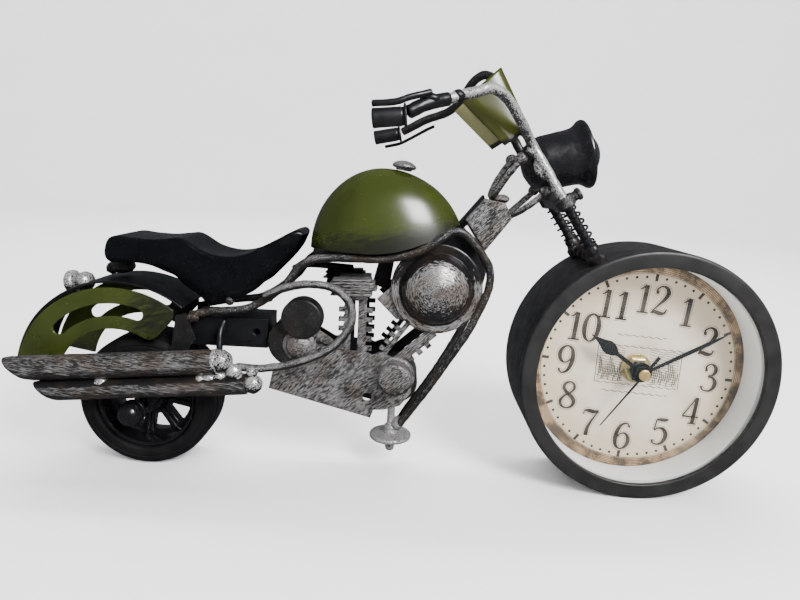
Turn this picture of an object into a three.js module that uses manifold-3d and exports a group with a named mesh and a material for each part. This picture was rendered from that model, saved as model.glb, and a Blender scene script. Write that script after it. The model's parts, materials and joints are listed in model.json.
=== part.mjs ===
// Chopper motorcycle desk clock: painted sheet steel and bent rod, with a quartz clock as its front wheel.
// Millimetres. +X runs forward to the clock, +Z is up and -Y is the rider's right-hand side.
// Drawn with the table at Z = 0, then moved so that the origin is the centre of its footprint.
import * as THREE from 'three';
import { mergeVertices } from 'three/addons/utils/BufferGeometryUtils.js';
import Module from 'manifold-3d';

const wasm = await Module();
wasm.setup();

// ---------------------------------------------------------------- driving dimensions

const GAP = 0.3;                        // clearance left between touching pieces
const CLOCK = { x: 112.5, radius: 52.5, halfDepth: 18.8, wall: 2.2, lipInner: 45.8, lip: 1.6 };
const DIAL = { front: -1.9, thickness: 1.5, bore: 3.9 };
const MOVEMENT = { half: 28, front: -0.1, split: 8.3, back: 16.9, wall: 1.2, bayTop: -11 };
const BATTERY = { radius: 7.1, length: 49.4 };
const BUSHING = { radius: 3.6, bore: 2.5, front: -5.6 };
const MOTION_WORK = { distance: 10.4, cannonTeeth: 8, wheelTeeth: 24, pinionTeeth: 6, hourTeeth: 24 };
const WHEEL = { x: -96.3, radius: 28.9, halfWidth: 11.8, rim: 21 };
const FENDER = { x: -106, z: 37, outer: 41.5, inner: 24.4, side: 14.3, plate: 1.2 };
const BAND = { x: -105.2, z: 37.8, outer: 43.5, inner: 42.3 };
const ROD = 1.7;                        // radius of the frame rods
const BAR = 2;                          // radius of the fork and handlebar rods
const FORK = { y: 14, x: 87.3, z: 98.9, along: [-0.574, 0.819] };
const LAMP = { x: 82.1, z: 140.6, tilt: 15, radius: 11, rim: 13.8, length: 27 };
const EXHAUST = { y: -26, upper: 5, lower: 4.2, wall: 1 };
const ENGINE = { inner: 9.5, outer: 11 };
const TANK = { x: 1, z: 96, rear: 29.6, front: 35, halfWidth: 17.5, height: 34.8 };
const SEAT = { halfWidth: 14, sheet: 1.2 };

// ---------------------------------------------------------------- colours

const PAINT = {
  green: { color: 0x6f7a34, roughness: 0.45, metalness: 0.2 },
  black: { color: 0x1d1e20, roughness: 0.45, metalness: 0.3 },
  silver: { color: 0x8f8d8a, roughness: 0.5, metalness: 0.8 },
  white: { color: 0xe4e6e2, roughness: 0.5, metalness: 0 },
  cream: { color: 0xe9e2d2, roughness: 0.8, metalness: 0 },
  brass: { color: 0xc9a548, roughness: 0.3, metalness: 1 },
  rubber: { color: 0x2b2b2c, roughness: 0.8, metalness: 0 },
  nylon: { color: 0xd8d8d0, roughness: 0.6, metalness: 0 },
  copper: { color: 0xa8602c, roughness: 0.4, metalness: 0.9 },
  glass: { color: 0xf4f8f8, roughness: 0.05, metalness: 0, transparent: true, opacity: 0.25 },
};

// ---------------------------------------------------------------- shape helpers

function closed(geometry) {
  const bare = geometry.index ? geometry.toNonIndexed() : geometry.clone();
  bare.deleteAttribute('normal');
  bare.deleteAttribute('uv');
  const welded = mergeVertices(bare, 1e-4);
  const place = welded.attributes.position;
  const triangles = [];
  let volume = 0;
  for (let i = 0; i < welded.index.count; i += 3) {
    const [a, b, c] = [0, 1, 2].map((k) => welded.index.getX(i + k));
    if (a === b || b === c || c === a) continue;
    triangles.push([a, b, c]);
    const corners = [a, b, c].map((k) => new THREE.Vector3().fromBufferAttribute(place, k));
    volume += corners[0].dot(corners[1].cross(corners[2]));
  }
  const ordered = triangles.map(([a, b, c]) => (volume < 0 ? [a, c, b] : [a, b, c]));
  return { positions: Float32Array.from(place.array), triangles: Uint32Array.from(ordered.flat()) };
}

function solid(geometry) {
  const { positions, triangles } = closed(geometry);
  return new wasm.Manifold(new wasm.Mesh({ numProp: 3, vertProperties: positions, triVerts: triangles }));
}

function surface(piece) {
  if (piece.isBufferGeometry) return surface(solid(piece));
  const mesh = piece.getMesh();
  const geometry = new THREE.BufferGeometry();
  geometry.setAttribute('position', new THREE.BufferAttribute(Float32Array.from(mesh.vertProperties), 3));
  geometry.setIndex(new THREE.BufferAttribute(Uint32Array.from(mesh.triVerts), 1));
  geometry.computeVertexNormals();
  return geometry;
}

const root = new THREE.Group();

function add(name, piece, paint, group = root) {
  const mesh = new THREE.Mesh(surface(piece), new THREE.MeshStandardMaterial(PAINT[paint]));
  mesh.name = name;
  group.add(mesh);
  return mesh;
}

function outline(points, holes = []) {
  const shape = new THREE.Shape(points.map(([x, z]) => new THREE.Vector2(x, z)));
  shape.holes = holes.map((ring) => new THREE.Path(ring.map(([x, z]) => new THREE.Vector2(x, z))));
  return shape;
}

// A flat plate cut to an XZ outline, between two Y planes.
function plate(shape, y0, y1, curveSegments = 8) {
  const geometry = new THREE.ExtrudeGeometry(shape, { depth: y1 - y0, bevelEnabled: false, curveSegments });
  geometry.rotateX(Math.PI / 2);
  geometry.translate(0, y1, 0);
  return geometry;
}

// A solid of revolution. The profile lists radius and height along the axis.
function turned(profile, origin, axis, segments = 24) {
  const points = profile.map(([radius, height]) => new THREE.Vector2(radius, height));
  const geometry = new THREE.LatheGeometry(points, segments, Math.PI / segments);
  const direction = new THREE.Vector3(...axis).normalize();
  const turn = new THREE.Quaternion().setFromUnitVectors(new THREE.Vector3(0, 1, 0), direction);
  geometry.applyQuaternion(turn);
  geometry.translate(...origin);
  return geometry;
}

function disc(radius, origin, axis, length, segments = 24) {
  return turned([[0, 0], [radius, 0], [radius, length], [0, length]], origin, axis, segments);
}

function ring(outer, inner, origin, axis, length, segments = 36) {
  const profile = [[inner, 0], [outer, 0], [outer, length], [inner, length], [inner, 0]];
  return turned(profile, origin, axis, segments);
}

// A round rod that follows a list of points.
function rod(points, radius, { sides = 6, steps = points.length * 2 } = {}) {
  const path = new THREE.CatmullRomCurve3(points.map((p) => new THREE.Vector3(...p)), false, 'centripetal');
  const section = new THREE.Shape();
  for (let i = 0; i < sides; i += 1) {
    const angle = (i / sides) * 2 * Math.PI;
    const [a, b] = [radius * Math.cos(angle), radius * Math.sin(angle)];
    if (i === 0) section.moveTo(a, b);
    else section.lineTo(a, b);
  }
  return new THREE.ExtrudeGeometry(section, { steps, extrudePath: path, bevelEnabled: false });
}

function block(x, y, z) {
  const geometry = new THREE.BoxGeometry(x[1] - x[0], y[1] - y[0], z[1] - z[0]);
  geometry.translate((x[0] + x[1]) / 2, (y[0] + y[1]) / 2, (z[0] + z[1]) / 2);
  return geometry;
}

function ball(radius, centre, across = 10, up = 6) {
  const geometry = new THREE.SphereGeometry(radius, across, up);
  geometry.translate(...centre);
  return geometry;
}

function join(first, ...others) {
  return others.reduce((whole, next) => whole.add(solid(next)), solid(first));
}

function cut(first, ...others) {
  const whole = first.isBufferGeometry ? solid(first) : first;
  return others.reduce((rest, next) => rest.subtract(solid(next)), whole);
}

const mirrored = (points, side) => points.map(([x, y, z]) => [x, y * side, z]);
const polar = (centre, radius, degrees) => [
  centre.x + radius * Math.cos(THREE.MathUtils.degToRad(degrees)),
  centre.z + radius * Math.sin(THREE.MathUtils.degToRad(degrees)),
];

function arcPoints(centre, radius, from, to, count) {
  return Array.from({ length: count + 1 }, (_, i) => polar(centre, radius, from + ((to - from) * i) / count));
}

// ---------------------------------------------------------------- clock

const FORWARD_FACE = [0, -1, 0];
const BACKWARD = [0, 1, 0];
const clock = new THREE.Group();
clock.position.set(CLOCK.x, 0, CLOCK.radius);
root.add(clock);

function clockCase() {
  const { radius, halfDepth, wall, lipInner, lip } = CLOCK;
  const flats = 48;
  const rim = radius / Math.cos(Math.PI / flats);
  const inner = radius - wall;
  const profile = [
    [lipInner, -halfDepth], [rim - 1, -halfDepth], [rim, -halfDepth + 1], [rim, halfDepth],
    [inner, halfDepth], [inner, -halfDepth + lip], [lipInner, -halfDepth + lip], [lipInner, -halfDepth],
  ];
  add('clock_case', turned(profile, [0, 0, 0], BACKWARD, flats), 'black', clock);
}

function clockFront() {
  const inside = CLOCK.radius - CLOCK.wall - GAP;
  const glassFront = -CLOCK.halfDepth + CLOCK.lip + GAP;
  const glass = 1.6;
  const spacerFront = glassFront + glass + GAP;
  const spacer = ring(inside, CLOCK.lipInner, [0, spacerFront, 0], BACKWARD, DIAL.front - GAP - spacerFront);
  add('clock_glass', disc(inside, [0, glassFront, 0], BACKWARD, glass, 36), 'glass', clock);
  add('spacer_ring', spacer, 'white', clock);
  add('dial', ring(inside, DIAL.bore, [0, DIAL.front, 0], BACKWARD, DIAL.thickness), 'cream', clock);
  const nutBack = DIAL.front - GAP;
  const nut = ring(6, BUSHING.radius + GAP, [0, nutBack, 0], FORWARD_FACE, 2.6, 24);
  add('dial_nut', nut, 'brass', clock);
}

function movementCase() {
  const { half, front, split, back, wall, bayTop } = MOVEMENT;
  const shell = block([-half, half], [front, back], [-half, half]);
  const upperRear = block([-half - 1, half + 1], [split, back + 1], [bayTop, half + 1]);
  const gearRoom = block([-half + wall, half - wall], [front + wall, back + 1], [bayTop + wall, half - wall]);
  const bay = block([-half + wall, half - wall], [front + wall, back + 1], [-half + wall, bayTop - wall]);
  const open = cut(shell, upperRear, gearRoom, bay);
  const neck = disc(BUSHING.radius, [0, front + 0.5, 0], FORWARD_FACE, front + 0.5 - BUSHING.front, 24);
  const bore = disc(BUSHING.bore, [0, back, 0], FORWARD_FACE, back - BUSHING.front + 1, 24);
  add('movement_case', cut(open.add(solid(neck)), bore), 'black', clock);
}

function movementCover() {
  const { half, split, back, wall, bayTop } = MOVEMENT;
  const lid = block([-half, half], [split + GAP, back], [bayTop + GAP, half]);
  const room = block([-half + wall, half - wall], [split, back - wall], [bayTop + wall, half - wall]);
  const arborHole = disc(1.6, [0, back + 1, MOTION_WORK.distance], FORWARD_FACE, 4, 12);
  add('movement_cover', cut(lid, room, arborHole), 'black', clock);
}

// A toothed wheel: the teeth are pointed, and the first tooth or the first gap points along +Z.
function toothed(teeth, pitch, bore, centreZ, y0, y1, gapFirst) {
  const module = (2 * pitch) / teeth;
  const [tip, foot] = [pitch + 0.35 * module, pitch - 0.75 * module];
  const step = (2 * Math.PI) / teeth;
  const start = Math.PI / 2 + (gapFirst ? step / 2 : 0);
  const points = [];
  for (let i = 0; i < teeth; i += 1) {
    const middle = start + i * step;
    for (const [radius, share] of [[foot, -0.3], [tip, 0], [foot, 0.3]]) {
      const angle = middle + share * step;
      points.push([radius * Math.cos(angle), centreZ + radius * Math.sin(angle)]);
    }
  }
  const hole = arcPoints({ x: 0, z: centreZ }, bore, 0, 324, 9).reverse();
  return plate(outline(points, bore > 0 ? [hole] : []), y0, y1);
}

// Coaxial arbors on the clock's axis, and the motion work beside them.
function gears() {
  const { distance, cannonTeeth, wheelTeeth, pinionTeeth, hourTeeth } = MOTION_WORK;
  const cannon = (distance * cannonTeeth) / (cannonTeeth + wheelTeeth);
  const pinion = (distance * pinionTeeth) / (pinionTeeth + hourTeeth);
  const tube = (outer, inner, y0, y1) => ring(outer, inner, [0, y0, 0], BACKWARD, y1 - y0, 12);
  const hour = join(toothed(hourTeeth, distance - pinion, 1.65, 0, 1.6, 2.6, false), tube(2.2, 1.65, -7.9, 2));
  add('hour_wheel', hour, 'nylon', clock);
  const cannonPinion = toothed(cannonTeeth, cannon, 0.85, 0, 3, 4.2, false);
  const minute = join(cannonPinion, tube(1.35, 0.85, -9.7, 5), ring(8, 0.85, [0, 4.2, 0], BACKWARD, 1, 20));
  add('minute_wheel', minute, 'nylon', clock);
  const seconds = join(ring(7, 0.3, [0, 6.2, 0], BACKWARD, 1, 20), disc(0.5, [0, -11.3, 0], BACKWARD, 20, 10));
  add('seconds_wheel', seconds, 'nylon', clock);
  const motion = join(
    toothed(wheelTeeth, distance - cannon, 0, distance, 3.1, 4.1, true),
    toothed(pinionTeeth, pinion, 0, distance, 1.6, 3.3, true),
    disc(1.2, [0, 3.5, distance], BACKWARD, 14, 12),
  );
  add('motion_wheel', motion, 'nylon', clock);
  const knob = turned([[0, 0], [5, 0], [5, 1.2], [0, 1.2]], [0, 17.8, distance], BACKWARD, 20);
  add('setting_knob', knob, 'black', clock);
}

// Clock hands lie in XZ. Each points along +Z, then is turned clockwise as seen from the front.
function hand(name, points, hubRadius, bore, y0, y1, degrees, paint) {
  const blade = plate(outline(points), y0, y1);
  const hub = disc(hubRadius, [0, y0, 0], BACKWARD, y1 - y0, 20);
  const hole = bore > 0 ? [disc(bore, [0, y0 - 1, 0], BACKWARD, y1 - y0 + 2, 12)] : [];
  const geometry = surface(cut(join(blade, hub), ...hole));
  geometry.rotateY(THREE.MathUtils.degToRad(degrees));
  add(name, geometry, paint, clock);
}

function hands() {
  const spade = [[-1, 0], [-1, 14.6], [-3, 17.4], [0, 26.9], [3, 17.4], [1, 14.6], [1, 0]];
  const sword = [[-0.8, -5], [-0.85, 18], [-0.35, 37], [0.35, 37], [0.85, 18], [0.8, -5]];
  const needle = [[-0.8, -10], [-0.3, 28], [0.3, 28], [0.8, -10]];
  hand('hour_hand', spade, 4.2, 1.65, -8.8, -8.2, 304.6, 'black');
  hand('minute_hand', sword, 3, 0.8, -10.6, -10, 60.3, 'black');
  hand('second_hand', needle, 2.2, 0, -12.4, -11.6, 214, 'brass');
}

function movementParts() {
  const { half, front, wall } = MOVEMENT;
  const centreZ = (-half + MOVEMENT.bayTop) / 2;
  const battery = turned([
    [0, -BATTERY.length / 2], [BATTERY.radius, -BATTERY.length / 2], [BATTERY.radius, BATTERY.length / 2 - 1.5],
    [2.7, BATTERY.length / 2 - 1.5], [2.7, BATTERY.length / 2], [0, BATTERY.length / 2],
  ], [0, front + wall + 7.5, centreZ], [1, 0, 0], 20);
  add('battery', battery, 'copper', clock);
  const board = block([11, 26.5], [front + wall + GAP, 2.6], [-9.4, 26.5]);
  const quartz = disc(1.5, [24.5, 4.2, 12], [0, 0, 1], 8, 12);
  add('circuit_board', join(board, quartz, block([23, 26], [2.4, 4], [13, 19])), 'green', clock);
  const stator = block([12.5, 15], [3, 4.4], [-7.5, 9]);
  const winding = disc(3.2, [17.6, 7, -7.2], [0, 0, 1], 15.8, 10);
  const core = block([13, 19], [3.5, 4.4], [-8.6, -6.8]);
  add('stepper_coil', join(winding, stator, core, block([13, 19], [3.5, 4.4], [8.2, 9.8])), 'copper', clock);
}

function backCover() {
  const inside = CLOCK.radius - CLOCK.wall - GAP;
  const hole = MOVEMENT.half + GAP;
  const cover = disc(inside, [0, MOVEMENT.back - 1.2, 0], BACKWARD, 2, 36);
  const window = block([-hole, hole], [0, 30], [-hole, hole]);
  add('back_cover', cut(cover, window), 'black', clock);
}

// ---------------------------------------------------------------- rear wheel and fender

function rearWheel() {
  const { x, radius, halfWidth, rim } = WHEEL;
  const flats = 32;
  const tread = radius / Math.cos(Math.PI / flats);
  const centre = [x, 0, radius];
  const tyre = turned([
    [rim, -halfWidth], [tread - 3, -halfWidth], [tread, -halfWidth + 3.5],
    [tread, halfWidth - 3.5], [tread - 3, halfWidth], [rim, halfWidth], [rim, -halfWidth],
  ], centre, BACKWARD, flats);
  add('tyre', tyre, 'rubber');
  const spokes = 8;
  const windows = Array.from({ length: spokes }, (_, i) => {
    const middle = (i * 360) / spokes + 12;
    const hub = { x, z: radius };
    const outerArc = arcPoints(hub, 17, middle - 15, middle + 15, 2);
    return plate(outline([...outerArc, polar(hub, 8.6, middle + 11), polar(hub, 8.6, middle - 11)]), -20, 20);
  });
  const barrel = rim - GAP;
  const wheel = turned([
    [3, -7], [6, -7], [7.5, -2.5], [barrel - 3, -2.5], [barrel, -halfWidth + 1.5], [barrel, halfWidth - 1.5],
    [barrel - 3, 2.5], [7.5, 2.5], [6, 7], [3, 7], [3, -7],
  ], centre, BACKWARD, 20);
  add('wheel_rim', cut(wheel, ...windows), 'black');
  const nutOut = 21;
  const axle = join(
    disc(2.4, [x, -nutOut, radius], BACKWARD, 2 * nutOut, 12),
    turned([[0, 0], [4.6, 0], [5.2, 2], [5, 5.5], [3.4, 8], [0, 9]], [x, -nutOut + 1, radius], [0, -1, 0], 12),
    turned([[0, 0], [4.6, 0], [5.2, 2], [5, 5.5], [3.4, 8], [0, 9]], [x, nutOut - 1, radius], [0, 1, 0], 12),
  );
  add('rear_axle', axle, 'black');
}

function fender() {
  const centre = { x: FENDER.x, z: FENDER.z };
  const [front, back] = [50.5, 170];
  const slotMiddle = (29.8 + 34.9) / 2;
  const slotHalf = (34.9 - 29.8) / 2;
  const endArc = (degrees, from) => {
    const [x, z] = polar(centre, slotMiddle, degrees);
    return arcPoints({ x, z }, slotHalf, from, from + 180, 5);
  };
  const slot = [
    ...arcPoints(centre, 34.9, 72.6, 133.5, 8),
    ...endArc(133.5, 133.5).slice(1, -1),
    ...arcPoints(centre, 29.8, 133.5, 72.6, 8),
    ...endArc(72.6, 252.6).slice(1, -1),
  ];
  const blank = [
    ...arcPoints(centre, FENDER.outer, front + 4, back, 20),
    ...arcPoints(centre, FENDER.inner, back, front + 5, 14),
    polar(centre, FENDER.inner + 1.6, front + 1),
    polar(centre, FENDER.outer - 3, front - 0.5),
    polar(centre, FENDER.outer - 1, front + 1),
  ];
  for (const [side, name] of [[-1, 'right'], [1, 'left']]) {
    const [y0, y1] = side < 0
      ? [-FENDER.side - FENDER.plate, -FENDER.side]
      : [FENDER.side, FENDER.side + FENDER.plate];
    add(`fender_plate_${name}`, plate(outline(blank, [slot]), y0, y1), 'green');
  }
  const arc = [...arcPoints(BAND, BAND.outer, 51, 172, 18), ...arcPoints(BAND, BAND.inner, 172, 51, 18)];
  const half = FENDER.side - GAP;
  add('fender_band', plate(outline(arc), -half, half), 'black');
}

function tailLamp() {
  const lamp = join(
    turned([[0, 0], [4.6, 0], [5.2, 1], [5, 3], [3.4, 4.2], [0, 4.6]], [-128, 0, 77.2], [-0.95, 0, -0.1], 14),
    ball(4.2, [-124.4, 0, 77.6]),
  );
  const band = disc(BAND.outer + GAP, [BAND.x, -8, BAND.z], BACKWARD, 16, 48);
  add('tail_lamp', cut(lamp, band), 'silver');
}

function swingArm() {
  const box = block([-77, -44.5], [-9, 9], [54.7, 67.3]);
  add('swing_arm_box', cut(box, disc(1.4, [-49.2, 10, 61.5], FORWARD_FACE, 20, 12)), 'black');
  const strut = [[-81, 68], [-77, 69], [-73.3, 58.5], [-77.5, 52], [-93, 25.5], [-98, 24], [-100, 29], [-96, 33]];
  const [axleX, axleZ] = [WHEEL.x, WHEEL.radius];
  for (const [side, name] of [[-1, 'right'], [1, 'left']]) {
    const [y0, y1] = side < 0 ? [-13.7, -12.4] : [12.4, 13.7];
    const eye = disc(2.4 + GAP, [axleX, y0 - 1, axleZ], BACKWARD, 4, 16);
    add(`axle_strut_${name}`, cut(plate(outline([...strut, [-83, 56]]), y0, y1), eye), 'silver');
  }
}

// ---------------------------------------------------------------- seat and tank

function seat() {
  const upper = [[-106.8, 99.1], [-93, 98.4], [-79.1, 99.7], [-73, 96.2], [-67, 94.2], [-58.5, 93.2], [-46.6, 97.6]];
  const nose = [[-30.8, 104.6], [-30.3, 101.6], [-34.5, 94.6], [-42.6, 86], [-48.6, 80.2], [-54.6, 77]];
  const under = [[-60.7, 74.4], [-67.4, 73.3], [-71, 77], [-74.8, 79], [-80.9, 84.8], [-90.6, 88.3], [-97.6, 89]];
  const heel = [[-106.6, 88.7], [-108.8, 92.6]];
  const side = [...upper, ...nose, ...under, ...heel];
  const inner = SEAT.halfWidth - SEAT.sheet;
  const drop = 1.6;
  const inset = ([x, z]) => [x * 0.98 - 1.4, z - drop];
  const hollow = [...upper.map(inset), [-36, 99.2], [-50, 60], [-100, 60], [-104.8, 90]];
  const shell = plate(outline(side), -SEAT.halfWidth, SEAT.halfWidth);
  add('seat', cut(shell, plate(outline(hollow), -inner, inner)), 'black');
  add('seat_post', block([-113, -103.4], [-6, 6], [81.9, 88.2]), 'black');
}

const tankBase = (x) => 97.4 + (x > -5 ? 0.00906 * (x + 5) ** 2 : 0);

function fuelTank() {
  const egg = new THREE.SphereGeometry(1, 22, 12);
  egg.rotateX(Math.PI / 2);
  const place = egg.attributes.position;
  for (let i = 0; i < place.count; i += 1) {
    const along = place.getX(i);
    place.setX(i, TANK.x + along * (along > 0 ? TANK.front : TANK.rear));
    place.setY(i, place.getY(i) * TANK.halfWidth);
    place.setZ(i, TANK.z + place.getZ(i) * TANK.height);
  }
  const floor = Array.from({ length: 11 }, (_, i) => [-36 + i * 7.4, tankBase(-36 + i * 7.4)]);
  const above = plate(outline([...floor, [40, 140], [-36, 140]]), -30, 30);
  add('fuel_tank', solid(egg).intersect(solid(above)), 'green');
  const capProfile = [[0, 0], [3.4, 0], [4.9, 1], [4.6, 2.2], [2.6, 3.3], [0, 3.8]];
  add('fuel_cap', turned(capProfile, [8.6, 0, 130.4], [0.12, 0, 1], 16), 'silver');
}

// ---------------------------------------------------------------- frame rods, neck and foot

// One bent rod on each side: seat rail, seat stay, top rail under the tank and down tube to the foot.
const TOP_RAIL = [
  [-75.2, -12, 68.3], [-67, -12, 70], [-52, -12.4, 72.4], [-43.5, -13, 77.3], [-36, -13.6, 83.6],
  [-31, -14, 90.6], [-26, -14, 93.8], [-18, -14, 94.9], [1, -14, 95.4], [10, -14, 97], [18, -14.4, 100],
  [23, -15.1, 103.4], [27, -14.8, 106.6], [31, -14.5, 107.9], [34.8, -13.9, 106.4], [38.4, -13.5, 102.9],
  [41.8, -13.2, 98.8], [44.3, -13, 94.8], [45.4, -13, 90.5], [45.2, -13, 86], [43.9, -12.9, 81],
];
const DOWN_TUBE = [
  [41.5, -12.7, 75], [38.4, -12.2, 67.5], [31, -10.5, 54], [23, -7.6, 39.5], [15.5, -4, 26.5], [12.6, -2.7, 21.6],
];
// The left down tube is bent a little further forward than the right one.
const DOWN_TUBE_LEFT = [
  [42.1, 12.7, 75], [40.1, 12.2, 67.5], [33.5, 10.5, 54], [24.8, 7.6, 39.5], [15.6, 4, 26.5], [12.6, 2.7, 21.6],
];
const FRAME_PATH = [...TOP_RAIL, ...DOWN_TUBE];
const FRAME_STEPS = 40;

function frameRods() {
  add('frame_rod_right', rod(FRAME_PATH, ROD, { steps: FRAME_STEPS }), 'silver');
  add('frame_rod_left', rod([...mirrored(TOP_RAIL, -1), ...DOWN_TUBE_LEFT], ROD, { steps: FRAME_STEPS }), 'black');
}

// The neck is one weldment: a box, a strap towards the tank and two bent yokes that hold the fork legs.
function neck() {
  const side = [[34.6, 112], [41.9, 120.9], [50.2, 119.5], [53.2, 113.4], [43.3, 99.8]];
  const strap = [[32.4, 110.6], [33.8, 107.9], [35.6, 109.6], [42.9, 118.6], [41.7, 122.4]];
  const yoke = (points) => rod([...points, ...mirrored(points, -1).reverse()], 1.5, { steps: 12 });
  const upper = [[53.6, -11.4, 136.4], [48.6, -9.6, 129], [45.6, -6, 122.8], [45.4, -2, 121.4]];
  const lower = [[64.6, -11.4, 124.6], [58.6, -9.6, 119], [54, -6, 115.4], [52.4, -2, 115]];
  const box = plate(outline(side), -7, 7);
  add('neck', join(box, plate(outline(strap), -3, 3), yoke(upper), yoke(lower)), 'silver');
}

function footBolt() {
  const profile = [
    [0, 7.4], [1.2, 7.6], [2, 9], [2, 13.8], [9.2, 13.8], [9.4, 14.4], [9.1, 16.2], [3.2, 16.8], [3, 19.6],
    [1.6, 20.6], [1.6, 32], [0, 32],
  ];
  add('foot_bolt', turned(profile, [8.4, 0, 0], [0, 0, 1], 16), 'silver');
}

// ---------------------------------------------------------------- fork, handlebar, lamp and windscreen

const onFork = (distance, y, out = 0) => [
  FORK.x + FORK.along[0] * distance + FORK.along[1] * out,
  y,
  FORK.z + FORK.along[1] * distance - FORK.along[0] * out,
];

function forkRod(name, side, bar, paint) {
  const leg = [7, 20, 32, 44, 54].map((distance) => onFork(distance, FORK.y * side));
  add(name, rod([...leg, ...bar], BAR, { steps: 30 }), paint);
}

function handlebars() {
  const right = [
    [50.6, -21, 150], [44.5, -25.5, 156.8], [38.6, -28.8, 159.6], [32.3, -33, 157.5], [27.3, -36.5, 155.8],
    [22.4, -39.5, 153.9], [17.6, -42, 152.5], [13.6, -43.8, 150.9], [10.7, -44.8, 149.3],
  ];
  const left = [
    [53.4, 19, 149.6], [50.8, 23, 156.8], [48.4, 27.6, 167], [45.6, 30.6, 172.6], [41.8, 33, 174], [37.8, 34.5, 171.4],
    [34.7, 36, 166.6], [32, 38, 161.9], [27.4, 40, 158.2], [17.5, 42.5, 154.4], [11.1, 44, 151], [7.7, 44.8, 149.1],
  ];
  forkRod('fork_rod_right', -1, right, 'silver');
  forkRod('fork_rod_left', 1, left, 'black');
  const grips = [['right', [9.1, -45, 147.3], [-2.4, -45.2, 146]], ['left', [6, 45, 147.9], [-6.7, 45.2, 145.2]]];
  for (const [name, from, to] of grips) {
    const axis = to.map((value, i) => value - from[i]);
    const length = Math.hypot(...axis);
    const profile = [[0, 0], [4.2, 0], [4.2, 0.9], [3.2, 1.1], [3.2, length - 0.5], [2.7, length], [0, length]];
    add(`grip_${name}`, turned(profile, from, axis, 16), 'black');
  }
  const rightLever = [[16.5, -44.4, 155.3], [14, -45.2, 154.6], [9.7, -46.4, 153.3], [6.2, -47.1, 151.7], [-2, -47.4, 150.7]];
  const leftLever = [[21.5, 46.6, 152], [17.9, 47.6, 150.2], [11, 48.2, 146.2], [6, 48.3, 143.5], [-1.1, 48, 141.6]];
  add('brake_lever', rod(rightLever, 1, { steps: 9 }), 'black');
  add('clutch_lever', rod(leftLever, 0.9, { steps: 9 }), 'black');
}

function forkSprings() {
  const [turns, coil, wire, low, high] = [5, 2.85, 0.45, 9, 24];
  for (const [side, name] of [[-1, 'right'], [1, 'left']]) {
    const count = turns * 8;
    const points = Array.from({ length: count + 1 }, (_, i) => {
      const angle = (i / count) * turns * 2 * Math.PI;
      const distance = low + ((high - low) * i) / count;
      return onFork(distance, FORK.y * side + coil * Math.sin(angle), coil * Math.cos(angle));
    });
    add(`fork_spring_${name}`, rod(points, wire, { sides: 4, steps: count }), 'black');
  }
}

// A block set square to the fork: ranges along the fork, across it, and out of its plane.
function forkBlock(along, y, out) {
  const geometry = block(out, y, along);
  geometry.rotateY(-Math.atan2(-FORK.along[0], FORK.along[1]));
  geometry.translate(FORK.x, 0, FORK.z);
  return geometry;
}

function forkFittings() {
  const rodHoles = [-1, 1].map((side) => {
    const axis = [FORK.along[0], 0, FORK.along[1]];
    return disc(BAR + GAP, onFork(-5, FORK.y * side), axis, 60, 16);
  });
  const bolts = [-1, 1].map((side) => {
    const axis = [FORK.along[1], 0, -FORK.along[0]];
    return disc(2.3, onFork(27.4, FORK.y * side, 2), axis, 5, 12);
  });
  const clamp = join(forkBlock([25.2, 29.6], [-17.6, 17.6], [-3.4, 3]), ...bolts);
  add('fork_clamp', cut(clamp, ...rodHoles), 'silver');
  const seatBlock = forkBlock([-3, 5], [-17.5, 17.5], [-4.6, 4.6]);
  const drum = disc(CLOCK.radius + GAP + 0.1, [CLOCK.x, -30, CLOCK.radius], BACKWARD, 60, 64);
  add('fork_mount', cut(seatBlock, drum), 'black');
}

function headlight() {
  const tilt = THREE.MathUtils.degToRad(LAMP.tilt);
  const axis = [Math.cos(tilt), 0, Math.sin(tilt)];
  const { radius, rim, length } = LAMP;
  const bucket = [
    [0, -length], [4, -length + 0.5], [8, -length + 2.4], [radius - 0.6, -length + 5], [radius, -length + 8],
    [radius + 0.4, -7], [rim, -2.2], [rim, 0], [rim - 1.4, 0], [radius - 0.6, -5], [radius - 1.2, -18], [0, -22],
  ];
  const lens = [[0, -6.5], [8.6, -6.5], [8.6, -4.4], [7, 0.6], [4, 3.4], [0, 4.6]];
  add('headlight_bucket', turned(bucket, [LAMP.x, 0, LAMP.z], axis, 20), 'black');
  add('headlight_lens', turned(lens, [LAMP.x, 0, LAMP.z], axis, 16), 'glass');
}

// The windscreen is one sheet folded to a U. Its wings are cut back towards the lower edge.
function windscreen() {
  const fold = new THREE.Vector3(11.4, 0, -19.3).normalize();
  const across = new THREE.Vector3(0, 1, 0);
  const out = new THREE.Vector3().crossVectors(fold, across).negate();
  const sheet = outline([
    [-17.6, -19.5], [-16.4, -2.4], [-14.6, 0], [14.6, 0], [16.4, -2.4], [17.6, -19.5],
    [16.6, -19.5], [15.4, -2.6], [14.2, -1], [-14.2, -1], [-15.4, -2.6], [-16.6, -19.5],
  ]);
  const folded = new THREE.ExtrudeGeometry(sheet, { depth: 32, bevelEnabled: false });
  folded.translate(0, 0, -2);
  const side = outline([[0, 1], [25, 1], [26, -11.2], [4.2, -18.6]]);
  const trim = plate(side, -30, 30);
  const basis = new THREE.Matrix4().makeBasis(across, out, fold);
  const trimBasis = new THREE.Matrix4().makeBasis(fold, across, out);
  for (const [piece, matrix] of [[folded, basis], [trim, trimBasis]]) {
    piece.applyMatrix4(matrix);
    piece.translate(41.9, 0, 168.8);
  }
  add('windscreen', solid(folded).intersect(solid(trim)), 'green');
}

// ---------------------------------------------------------------- engine and exhaust

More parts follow.
